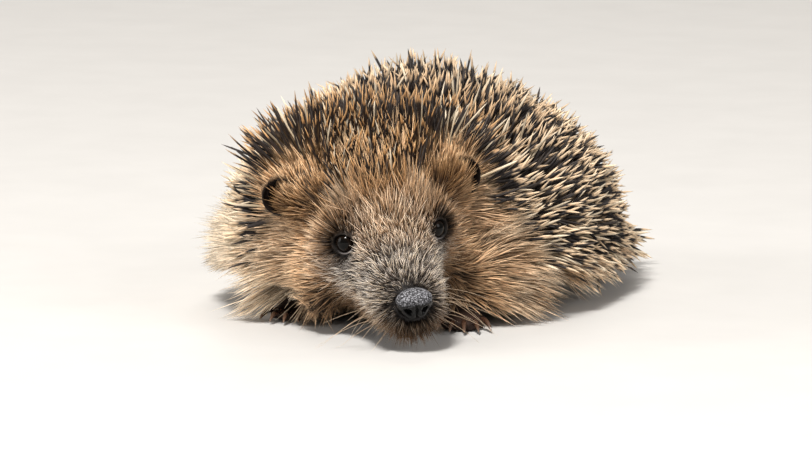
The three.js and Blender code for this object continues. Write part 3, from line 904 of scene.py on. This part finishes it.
class Finish:
    """A node material for one kind of surface, with small helpers to wire it."""

    def __init__(self, name, roughness, gloss=0.4):
        self.material = bpy.data.materials.new(name)
        self.material.use_nodes = True
        self.shader = self.material.node_tree.nodes["Principled BSDF"]
        self.shader.inputs["Roughness"].default_value = roughness
        self.shader.inputs["Specular IOR Level"].default_value = gloss
        self.place = self.add("ShaderNodeTexCoord", "Object", {})

    def add(self, kind, result, inputs, **settings):
        return add_node(self.material.node_tree, kind, inputs, **settings).outputs[result]

    def set(self, socket, value):
        self.material.node_tree.links.new(value, self.shader.inputs[socket])

    def mark(self, name):
        return self.add("ShaderNodeAttribute", "Fac", {}, attribute_name=name)

    def maths(self, operation, *values):
        return self.add("ShaderNodeMath", 0, dict(enumerate(values)), operation=operation)

    def noise(self, size_mm, detail=3.0):
        return self.add("ShaderNodeTexNoise", "Fac", {
            "Vector": self.place, "Scale": 1 / (size_mm * MM), "Detail": detail, "Roughness": 0.55})

    def pebbles(self, size_mm):
        inputs = {"Vector": self.place, "Scale": 1 / (size_mm * MM)}
        return self.add("ShaderNodeTexVoronoi", "Distance", inputs, feature="SMOOTH_F1")

    def ramp(self, value, stops):
        node = add_node(self.material.node_tree, "ShaderNodeValToRGB", {"Fac": value})
        elements = node.color_ramp.elements
        while len(elements) < len(stops):
            elements.new(0.5)
        for element, (where, shade) in zip(elements, stops):
            element.position = where
            element.color = (*shade, 1)
        return node.outputs["Color"]

    def mix(self, weight, first, second):
        inputs = {"Factor": weight, "A": first, "B": second}
        return self.add("ShaderNodeMix", "Result", inputs, data_type="RGBA")

    def brighten(self, colour, amount):
        return self.add("ShaderNodeHueSaturation", "Color", {"Color": colour, "Value": amount})

    def paint(self, colour):
        self.set("Base Color", colour)

    def sheen_spread(self, value, low, high):
        """Roughness that wanders between low and high with value."""
        inputs = {"Value": value, "To Min": low, "To Max": high}
        self.set("Roughness", self.add("ShaderNodeMapRange", "Result", inputs))

    def bump(self, height, strength, distance_mm):
        inputs = {"Strength": strength, "Distance": distance_mm * MM, "Height": height}
        self.set("Normal", self.add("ShaderNodeBump", "Normal", inputs))


def coat_finish(name, bands, low, high, spread):
    """Hair or spine colour along each tuft. bands maps a mark to its stops; the first is the base."""
    finish = Finish(name, 0.5, 0.2)
    tone = finish.mark("tone")
    shift = finish.maths("MULTIPLY_ADD", tone, spread, -spread / 2)
    place = finish.maths("ADD", finish.mark("along"), shift)
    colour = None
    for kind, stops in bands.items():
        band = finish.ramp(place, stops)
        colour = band if colour is None else finish.mix(finish.mark(kind), colour, band)
    patch = finish.maths("MULTIPLY_ADD", finish.noise(9, 2.0), 0.5, 0.75)
    bright = finish.maths("MULTIPLY", finish.maths("MULTIPLY_ADD", tone, high - low, low), patch)
    finish.paint(finish.brighten(colour, bright))
    finish.sheen_spread(finish.noise(1.5, 2.0), 0.38, 0.6)
    finish.bump(finish.noise(0.35, 2.0), 0.15, 0.05)
    return finish.material


NEAR_BLACK = (0.016, 0.012, 0.011)
spine_coat = coat_finish("banded spines", {
    "base": [(0.0, (0.20, 0.14, 0.09)), (0.30, (0.20, 0.14, 0.09)), (0.42, NEAR_BLACK), (0.72, (0.026, 0.022, 0.022)),
             (0.79, (0.58, 0.42, 0.27)), (1.0, (0.82, 0.65, 0.46))],
    "gold": [(0.0, (0.07, 0.04, 0.02)), (0.30, (0.14, 0.08, 0.035)), (0.45, (0.022, 0.012, 0.008)),
             (0.76, (0.020, 0.012, 0.008)), (0.83, (0.35, 0.18, 0.070)), (1.0, (0.58, 0.355, 0.165))],
    "pale": [(0.0, (0.26, 0.19, 0.12)), (0.5, (0.42, 0.33, 0.22)), (1.0, (0.74, 0.63, 0.48))],
    "dark": [(0.0, (0.16, 0.11, 0.07)), (0.35, NEAR_BLACK), (1.0, (0.05, 0.04, 0.035))],
}, 0.65, 1.3, 0.10)
fur_coat = coat_finish("coat fur", {
    "base": [(0.0, (0.032, 0.018, 0.009)), (0.22, (0.16, 0.086, 0.040)), (0.55, (0.47, 0.265, 0.127)),
             (1.0, (0.90, 0.63, 0.38))],
    "gold": [(0.0, (0.018, 0.009, 0.005)), (0.32, (0.075, 0.035, 0.013)), (0.62, (0.25, 0.125, 0.047)),
             (1.0, (0.53, 0.31, 0.14))],
    "grey": [(0.0, (0.009, 0.008, 0.007)), (0.32, (0.032, 0.026, 0.022)), (0.60, (0.17, 0.14, 0.118)),
             (1.0, (0.80, 0.74, 0.67))],
    "pale": [(0.0, (0.30, 0.22, 0.15)), (0.25, (0.60, 0.48, 0.345)), (0.55, (0.84, 0.68, 0.49)),
             (1.0, (0.96, 0.85, 0.70))],
    "dark": [(0.0, (0.006, 0.005, 0.0045)), (0.55, (0.010, 0.008, 0.007)), (0.8, (0.018, 0.015, 0.013)),
             (1.0, (0.05, 0.043, 0.038))],
}, 0.08, 1.6, 0.24)


def plain(name, colour, roughness):
    finish = Finish(name, roughness)
    finish.paint(finish.ramp(finish.noise(30), [(0.3, tuple(0.96 * c for c in colour)), (0.7, colour)]))
    return finish.material


# ---------- the skin's colours, with a painted glint on the lower lids and painted shade in the ear cups ---
SKIN_COLOURS = {
    "gold": [(0.3, (0.04, 0.022, 0.012)), (0.7, (0.09, 0.05, 0.025))],
    "grey": [(0.3, (0.018, 0.015, 0.014)), (0.7, (0.045, 0.038, 0.034))],
    "pale": [(0.3, (0.08, 0.055, 0.037)), (0.7, (0.13, 0.092, 0.062))],
    "dark": [(0.3, (0.005, 0.004, 0.0035)), (0.7, (0.011, 0.009, 0.008))],
    "bare": [(0.3, (0.016, 0.010, 0.008)), (0.7, (0.05, 0.029, 0.022))],
    "lid": [(0.3, (0.003, 0.0024, 0.002)), (0.7, (0.009, 0.007, 0.006))],
    # rim: a painted glint, a pale arc on the wet lower lid of each eye
    "rim": [(0.3, (0.12, 0.105, 0.10)), (0.7, (0.22, 0.20, 0.195))],
    "near_nose": [(0.3, (0.012, 0.011, 0.011)), (0.7, (0.03, 0.027, 0.026))],
    # painted shade: the bare skin inside each ear cup made near-black
    "cup": [(0.3, (0.006, 0.004, 0.0035)), (0.7, (0.014, 0.009, 0.007))],
}


def paint_skin(mesh):
    """The same markings as the coat's, kept on the skin's corners, where it is bare, with a painted glint on each
    lower lid and painted shade inside the ear cups.
    """
    surface = Surface(mesh)
    p, n = surface.p, surface.normals()
    zone = zones(p, n)
    marks = colour_marks(zone, p, np.random.default_rng(5))
    marks["bare"] = np.clip(smooth(8.8, 7.2, zone.ear_gap) + zone.foot, 0, 1)
    marks["lid"] = smooth(4.6, 3.4, zone.eye_gap)
    marks["near_nose"] = smooth(1.9, 1.25, zone.nose_gap)
    marks["rim"] = marks["cup"] = 0
    # painted glint: a pale arc along the lower lid of each eye, on the side toward the nose
    for eye, out in zip(EYES, EYE_OUT):
        flat = p - eye - ((p - eye) @ out)[:, None] * out
        arc = smooth(0.0, -1.4, flat @ UP) * smooth(-1.0, 1.4, flat @ unit(NOSE - eye)) * ((p - eye) @ out > 0)
        marks["rim"] = marks["rim"] + hump(np.linalg.norm(flat, axis=1) - 2.9, 0.2) * arc
    # painted shade: near-black inside the cup of each ear
    for ear, side in zip(EARS, SIDES):
        opening = ear_opening(side) @ HEAD_AXES
        level = (p - ear) @ opening
        aside = np.linalg.norm(p - ear - level[:, None] * opening, axis=1)
        marks["cup"] = marks["cup"] + smooth(7.0, 6.2, aside) * (n @ opening > -0.4) * (level > -6)
    finish = Finish("skin", 0.6, 0.12)
    grain = finish.noise(0.9, 4.0)
    colour = finish.ramp(grain, [(0.3, (0.030, 0.020, 0.014)), (0.7, (0.065, 0.045, 0.030))])
    for kind, stops in SKIN_COLOURS.items():
        note(mesh, kind, marks[kind])
        colour = finish.mix(finish.mark(kind), colour, finish.ramp(grain, stops))
    finish.paint(colour)
    wet = finish.maths("MAXIMUM", finish.mark("rim"), finish.maths("MULTIPLY", finish.mark("near_nose"), 0.7))
    finish.sheen_spread(finish.maths("SUBTRACT", grain, finish.maths("MULTIPLY", wet, 0.5)), 0.32, 0.75)
    finish.bump(finish.maths("ADD", grain, finish.pebbles(0.5)), 0.5, 0.12)
    mesh.materials.append(finish.material)


paint_skin(skin_mesh)


# ---------- the eyes ----------
def eye_ball(name, centre, out):
    up = unit(np.cross(np.cross(out, UP), out))
    ways, faces = ball_grid(28, 40)
    # the clear front of the eye bulges a little
    bulge = 1 + 0.015 * np.exp(-(np.arccos(ways[:, :1]) / 0.6) ** 2)
    mesh = mesh_from(name, centre + EYE_RADIUS * bulge * (ways @ [out, np.cross(up, out), up]), faces)
    joined_up(mesh)
    ways = unit(Surface(mesh).p - centre)
    note(mesh, "from_pupil", np.arccos(np.clip(ways @ out, -1, 1)) / math.pi)
    return new_object(name, mesh)


def eye_finish():
    finish = Finish("wet eye", 0.05, 0.14)
    ring = finish.maths("ADD", finish.mark("from_pupil"), finish.maths("MULTIPLY", finish.noise(0.5), 0.03))
    finish.paint(finish.ramp(ring, [
        (0.0, (0.002, 0.002, 0.002)), (0.17, (0.003, 0.0025, 0.002)), (0.22, (0.007, 0.004, 0.0025)),
        (0.40, (0.004, 0.003, 0.002)), (0.46, (0.01, 0.007, 0.006)),
    ]))
    finish.sheen_spread(finish.noise(0.8), 0.03, 0.08)
    finish.bump(finish.noise(1.2), 0.05, 0.03)
    return finish.material


wet_eye = eye_finish()
for name, centre, out in zip(("eye_left", "eye_right"), EYES, EYE_OUT):
    eye = eye_ball("ball_" + name, centre, out)
    eye.data.materials.append(wet_eye)
    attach(eye, "root")
    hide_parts(name)


# ---------- the nose pad ----------
def nose_mesh():
    ways, faces = ball_grid(72, 112)
    p = ways * NOSE_SIZE * [1.02, 1.0, 1.0]
    f, l, u = p.T
    front = smooth(-0.5, 1.5, f)
    # broad at the top, narrower below, with a flat front that a groove divides
    p[:, 1] *= 1 + 0.10 * smooth(-1, 2.5, u) - 0.18 * smooth(-0.5, -4, u)
    p[:, 0] -= 0.55 * smooth(2.6, 4.4, f)
    aside = np.abs(l)

    def spot(across, width, up, height):
        return np.exp(-((aside - across) / width) ** 2 - ((u - up) / height) ** 2)

    groove = (0.55 * hump(l, 0.38) * smooth(1.6, -0.6, u) + 0.18 * hump(l, 0.5)) * front
    hole = spot(2.5, 1.0, 0.35 * (aside - 2.5) - 1.1, 0.8) * smooth(0.4, 2.0, f)
    slit = spot(4.1, 1.0, 0.5 * (aside - 4.0) - 1.6, 0.36) * smooth(-2.0, 0.5, f)
    swell = 0.42 * spot(2.6, 1.9, 0.45, 0.75) + 0.28 * spot(1.2, 0.6, -1.4, 1.2) + 0.35 * spot(1.9, 1.4, -3.1, 0.7)
    cells = np.cos(l * 6.1 + 1.3 * np.sin(u * 4.3)) * np.cos(u * 6.7 + 1.1 * np.sin(l * 4.9))
    top = smooth(-0.9, 0.9, u - 0.25 * np.sin(l * 2.3))
    pebble = (0.05 + 0.05 * top) * cells * (1 - np.clip(hole * 1.5, 0, 1)) * smooth(-2.5, 0, f)
    p += ways * (swell * front + pebble - groove - 0.5 * slit)[:, None]
    p[:, 0] -= 2.1 * hole
    p[:, 1] -= np.sign(l) * 0.35 * hole
    mesh = mesh_from("nose_pad", from_head(to_head(NOSE[None]) + p), faces)
    joined_up(mesh)
    note(mesh, "dome", smooth(0.3, 2.1, (Surface(mesh).p - NOSE) @ UP))
    return mesh


def nose_finish():
    """Black and wet below; on top, fine pale bluish pebbles, partly the pad's drier skin and partly painted sheen."""
    finish = Finish("wet nose", 0.25, 0.18)
    dome, grain = finish.mark("dome"), finish.noise(0.5, 4.0)
    wet = finish.ramp(grain, [(0.3, (0.002, 0.002, 0.002)), (0.7, (0.006, 0.0055, 0.0055))])
    # the pale bluish pebbles on the top of the pad are partly its drier skin, partly painted sheen
    frosted_and_sheen = finish.ramp(finish.pebbles(0.42), [
        (0.12, (0.40, 0.40, 0.43)), (0.38, (0.10, 0.10, 0.11)), (0.65, (0.010, 0.010, 0.011))])
    finish.paint(finish.mix(dome, wet, frosted_and_sheen))
    finish.sheen_spread(finish.maths("MULTIPLY_ADD", dome, 0.8, finish.maths("MULTIPLY", grain, 0.2)), 0.07, 0.60)
    rough = finish.maths("MULTIPLY_ADD", dome, 0.75, 0.25)
    finish.bump(finish.maths("MULTIPLY", finish.pebbles(0.36), rough), 0.9, 0.2)
    return finish.material


pad = new_object("nose_pad", nose_mesh())
pad.data.materials.append(nose_finish())
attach(pad, "root")
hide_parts("nose")


# ---------- what follows a path: claws and whiskers ----------
def sweep_tree(material):
    """A node tree that turns each line of a mesh into a closed tapered horn or hair."""
    tree = bpy.data.node_groups.new("swept horn", "GeometryNodeTree")
    tree.interface.new_socket("Geometry", in_out="INPUT", socket_type="NodeSocketGeometry")
    sides = tree.interface.new_socket("Sides", in_out="INPUT", socket_type="NodeSocketInt")
    sides.default_value = 8
    thickness = tree.interface.new_socket("Thickness", in_out="INPUT", socket_type="NodeSocketFloat")
    thickness.default_value = MM
    tree.interface.new_socket("Geometry", in_out="OUTPUT", socket_type="NodeSocketGeometry")
    given = add_node(tree, "NodeGroupInput", {})
    line = add_node(tree, "GeometryNodeMeshToCurve", {"Mesh": given.outputs["Geometry"]})
    width = add_node(tree, "GeometryNodeInputNamedAttribute", {"Name": "width"}, data_type="FLOAT")
    ring = add_node(tree, "GeometryNodeCurvePrimitiveCircle", {"Radius": 1.0, "Resolution": given.outputs["Sides"]})
    sized = {0: width.outputs["Attribute"], 1: given.outputs["Thickness"]}
    size = add_node(tree, "ShaderNodeMath", sized, operation="MULTIPLY")
    swept = add_node(tree, "GeometryNodeCurveToMesh", {
        "Curve": line.outputs["Curve"], "Profile Curve": ring.outputs["Curve"],
        "Scale": size.outputs[0], "Fill Caps": True})
    real = add_node(tree, "GeometryNodeRealizeInstances", {"Geometry": swept.outputs["Mesh"]})
    finish = add_node(tree, "GeometryNodeSetMaterial", {"Geometry": real.outputs["Geometry"], "Material": material})
    add_node(tree, "NodeGroupOutput", {"Geometry": finish.outputs["Geometry"]})
    return tree


def sweep(name, paths, radius, taper, tree, sides, notes):
    """One mesh of horns or hairs along paths, each [points, 3] in mm.

    taper is the share of the radius (mm) at each point; notes adds marks with one value for each path."""
    levels = len(paths[0])
    edges = [(k, k + 1) for start in range(0, levels * len(paths), levels) for k in range(start, start + levels - 1)]
    mesh = bpy.data.meshes.new(name)
    mesh.from_pydata((np.concatenate(paths) * MM).tolist(), edges, [])
    note(mesh, "width", np.tile(taper, len(paths)))
    note(mesh, "along", np.tile(np.linspace(0, 1, levels), len(paths)))
    for label, values in notes.items():
        note(mesh, label, np.repeat(values, levels))
    piece = new_object(name, mesh)
    modifier = piece.modifiers.new("sweep", "NODES")
    modifier.node_group = tree
    for label, value in (("Sides", sides), ("Thickness", radius * MM)):
        modifier[tree.interface.items_tree[label].identifier] = value
    whole = bpy.data.meshes.new_from_object(piece.evaluated_get(bpy.context.evaluated_depsgraph_get()))
    piece.modifiers.remove(modifier)
    piece.data = whole
    whole.name = name
    joined_up(whole, merge=False)
    return piece


def claw_finish():
    finish = Finish("claw horn", 0.25, 0.55)
    streak = finish.noise(0.8)
    place = finish.maths("ADD", finish.mark("along"), finish.maths("MULTIPLY_ADD", streak, 0.2, -0.1))
    finish.paint(finish.ramp(place, [
        (0.0, (0.03, 0.014, 0.009)), (0.45, (0.05, 0.023, 0.014)), (0.85, (0.10, 0.055, 0.034)),
        (1.0, (0.20, 0.13, 0.085)),
    ]))
    finish.shader.inputs["Coat Weight"].default_value = 0.4
    finish.sheen_spread(streak, 0.16, 0.36)
    finish.bump(streak, 0.25, 0.08)
    return finish.material


CLAW_LEVELS, CLAW_SIDES, CLAW_RADIUS, CLAW_TIP, CLAW_ARCH = 11, 9, 0.86, 0.05, 0.8
WHISKER_LEVELS, WHISKER_SIDES, WHISKER_RADIUS, WHISKER_TIP = 9, 4, 0.07, 0.012
LIP_WHISKERS, CHIN_WHISKERS = 24, 10


def make_claws(foot, tree):
    """The five claws of a foot, each arched between the root and the tip of its plain node."""
    far = np.linspace(0, 1, CLAW_LEVELS)[:, None]
    paths = []
    names = [f"claw_{foot}_{k}" for k in range(1, 6)]
    for node in names:
        places = Surface(NODES[node].data).p
        tip = places[places[:, 2].argmin()]
        root = places[np.linalg.norm(places - tip, axis=1).argmax()]
        near_root = places[np.linalg.norm(places - root, axis=1) < 1.2].mean(axis=0)
        path = near_root + (tip - near_root) * (far * 1.06 - 0.12) + [0, 0, CLAW_ARCH] * np.sin(far * math.pi) ** 1.2
        path[:, 2] = np.maximum(path[:, 2], 0.32)
        paths.append(path)
    taper = (1 - far[:, 0] ** 2.2) ** 0.8 + CLAW_TIP / CLAW_RADIUS
    claws = sweep(f"claws_{foot}", paths, CLAW_RADIUS, taper, tree, CLAW_SIDES, {})
    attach(claws, "root")
    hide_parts(*names)


claw_tree = sweep_tree(claw_finish())
for foot in FEET:
    make_claws(foot, claw_tree)


# ---------- the coat, piece by piece ----------
def ear_ground(side):
    """The back of an ear and its rim, for the fine down that covers them."""
    corners, faces = ear_mesh(side)
    half = len(corners) // 2
    edge = np.linalg.norm(corners - from_head(EAR_PLACES[side]), axis=1)
    furred = [face for face in faces if max(face) < half or min(edge[k] for k in face) > 6.0]
    return Ground(mesh_from("ear_ground", corners, furred))


def grow_whiskers():
    """Long whiskers from the upper lip and shorter ones from the chin, taken in turn on each side."""
    draw = np.random.default_rng(200)
    polygons = [tuple(face.vertices) for face in ground_mesh.polygons]
    skin_tree = BVHTree.FromPolygons([v.co[:] for v in ground_mesh.vertices], polygons)
    far = np.linspace(0, 1, WHISKER_LEVELS)[:, None]
    paths = []
    for k in range(LIP_WHISKERS + CHIN_WHISKERS):
        side = 1 if k % 2 else -1
        if k < LIP_WHISKERS:
            aim = [draw.uniform(13, 23), side * draw.uniform(4.5, 9), draw.uniform(-17, -9)]
            out = [draw.uniform(-0.5, 0.5), side, draw.uniform(-0.75, 0.05)]
            reach = draw.uniform(11, 25)
        else:
            aim = [draw.uniform(8, 20), side * draw.uniform(1, 6), -21]
            out = [draw.uniform(-0.6, 0.1), side * draw.uniform(0.3, 0.9), -1.0]
            reach = draw.uniform(6, 10)
        out = unit(np.array(out)) @ HEAD_AXES
        root = np.array(skin_tree.find_nearest(Vector(from_head(aim) * MM))[0][:]) / MM - out * 0.5
        sag = FORWARD * 0.12 + UP * draw.normal(0, 0.06) + [0, 0, -0.22]
        path = root + (out * far + sag * far ** 2) * reach
        path = root + (path - root) * kept_by_box(path[:1], path[-1:], draw)[0]
        path[:, 2] = np.maximum(path[:, 2], 0.5 + 0.6 * draw.random())
        paths.append(path)
    taper = (1 - far[:, 0]) ** 0.7 + WHISKER_TIP / WHISKER_RADIUS
    patch = unwrap_of(np.array([path[0] for path in paths]))
    alike = np.ones(len(paths))
    notes = {"tone": 0.42 * alike, "pale": 0.5 * alike, "patch_u": patch[:, 0], "patch_v": patch[:, 1]}
    whiskers = sweep("whiskers", paths, WHISKER_RADIUS, taper, sweep_tree(fur_coat), WHISKER_SIDES, notes)
    mesh = whiskers.data
    across, up, along = (column(mesh.attributes[label].data, "value", 1, np.float32)[:, 0]
                         for label in ("patch_u", "patch_v", "along"))
    spin = (np.arange(len(along)) % WHISKER_SIDES) / (WHISKER_SIDES - 1) - 0.5
    uv = np.stack([across + spin * TUFT_PATCH, up + (along - 0.5) * TUFT_PATCH], axis=1)
    index = column(mesh.loops, "vertex_index", 1, np.int32)[:, 0]
    mesh.uv_layers.new(name="OFBake").data.foreach_set("uv", uv[index].astype(np.float32).ravel())
    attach(whiskers, "root")


def furred(z):
    """1 where fur may grow: not on the nose pad, in the eyes or on the soles."""
    return smooth(3.5, 4.1, z.eye_gap) * smooth(1.08, 1.2, z.nose_gap) * (z.z > 0.8) * (1 - z.foot)


def under_spines(z):
    """1 on the parts of the body's sides that the spines leave free."""
    return (1 - z.spiny) * (1 - z.down)


def muzzle_hairs(z):
    return np.interp(z.from_face, [10, 20, 30], [10.5, 9.5, 7]) * z.face * furred(z) * smooth(26, 23, z.from_face)


def face_hairs(z):
    thick = np.interp(z.from_face, [20, 30, 50], [6.5, 5.0, 3.8]) * z.crowd
    return thick * z.face * furred(z) * smooth(23, 26, z.from_face)


def brow_hairs(z):
    return 2.5 * furred(z) * smooth(2, 9, z.u) * smooth(19, 25, z.from_face) * smooth(46, 36, z.from_face)


def cheek_hairs(z):
    beside = smooth(38, 46, z.from_face) * smooth(80, 66, z.from_face)
    return 4.2 * furred(z) * z.crowd * beside * under_spines(z)


def skirt_hairs(z):
    return 3.6 * (1 - z.face) * under_spines(z) * (1 - z.foot) * smooth(56, 70, z.from_face)


def belly_hairs(z):
    return 0.8 * z.down * (1 - z.foot) * (1 - z.face) * (z.z > 2)


grow_spines("spines", ground, 40)
grow_fur("muzzle_fur", ground, muzzle_hairs, 60, face_style, 2)
grow_fur("face_fur", ground, face_hairs, 65, face_style)
for side, label in zip(SIDES, ("left", "right")):
    rise = unit(np.array([-0.25, side * 0.35, 1.0])) @ HEAD_AXES
    grow_fur(f"ear_fur_{label}", ear_ground(side), lambda z: np.full(len(z.f), 9.0), 110 + side, ear_style, 2,
             lambda n: unit(rise - n * (n @ rise)[:, None]), 0.35)
grow_whiskers()
grow_fur("brow_bristles", ground, brow_hairs, 68, brow_style)
grow_fur("cheek_fur", ground, cheek_hairs, 70, cheek_style)
grow_fur("skirt_fur", ground, skirt_hairs, 80, skirt_style)
grow_fur("belly_fur", ground, belly_hairs, 90, belly_style, 2)
grow_fur("foot_fur", ground, lambda z: 5.0 * z.foot * (z.z > 2.2) * (1 - z.down), 95, foot_style, 2)


# ---------- camera, floor and light ----------
PICTURE = (812, 459)
SENSOR = 36
VIEW_AZIMUTH, VIEW_ELEVATION, VIEW_DISTANCE = 23.0, 9.0, 1500.0
PIXELS_PER_MM = 3.5
EYES_IN_PICTURE = (391, 236)
LIGHTS_AIM = Vector((0, 0, 0.04))
# azimuth and elevation in degrees, distance and size in metres, power in watts, colour
LIGHTS = {
    "key": (5, 55, 2.0, 0.45, 54, (1.0, 0.97, 0.93)),
    "left fill": (-65, 18, 2.2, 1.4, 22, (1.0, 0.97, 0.94)),
    "fill": (75, 30, 2.2, 1.2, 14, (1.0, 0.98, 0.96)),
    "back light": (200, 50, 2.2, 1.2, 14, (1.0, 0.95, 0.88)),
}


def way_out(azimuth, elevation):
    """The way from the animal out to a place at an azimuth and elevation; azimuth 0 is straight ahead of it."""
    a, e = math.radians(azimuth), math.radians(elevation)
    return np.array([math.sin(a) * math.cos(e), -math.cos(a) * math.cos(e), math.sin(e)])


def make_camera():
    back = way_out(VIEW_AZIMUTH, VIEW_ELEVATION)
    right = unit(np.cross([0, 0, 1.0], back))
    data = bpy.data.cameras.new("camera")
    data.sensor_width = SENSOR
    data.lens = PIXELS_PER_MM * SENSOR * VIEW_DISTANCE / PICTURE[0]
    data.shift_x = (PICTURE[0] / 2 - EYES_IN_PICTURE[0]) / PICTURE[0]
    data.shift_y = (EYES_IN_PICTURE[1] - PICTURE[1] / 2) / PICTURE[0]
    data.clip_start, data.clip_end = 0.05, 50
    camera = new_object("camera", data)
    camera.location = Vector((BETWEEN_EYES + back * VIEW_DISTANCE) * MM)
    camera.rotation_mode = "QUATERNION"
    camera.rotation_quaternion = Matrix([right, np.cross(back, right), back]).transposed().to_quaternion()
    bpy.context.scene.camera = camera


def soft_light(name, azimuth, elevation, distance, size, power, colour):
    data = bpy.data.lights.new(name, "AREA")
    data.shape, data.size, data.energy, data.color = "DISK", size, power, colour
    light = new_object(name, data)
    back = Vector(way_out(azimuth, elevation))
    light.location = LIGHTS_AIM + back * distance
    light.rotation_mode = "QUATERNION"
    light.rotation_quaternion = back.to_track_quat("Z", "Y")


scene = bpy.context.scene
scene.view_settings.view_transform = "Standard"
make_camera()
floor = new_object("floor", bpy.data.meshes.new("floor"))
floor.data.from_pydata([(-6, -6, 0), (6, -6, 0), (6, 6, 0), (-6, 6, 0)], [], [(0, 1, 2, 3)])
floor.data.materials.append(plain("pale floor", (0.61, 0.60, 0.585), 0.8))
for name, light in LIGHTS.items():
    soft_light(name, *light)
scene.world = bpy.data.worlds.new("studio")
scene.world.use_nodes = True
sky = scene.world.node_tree.nodes["Background"].inputs
sky["Color"].default_value = (0.9, 0.88, 0.86, 1)
sky["Strength"].default_value = 0.24
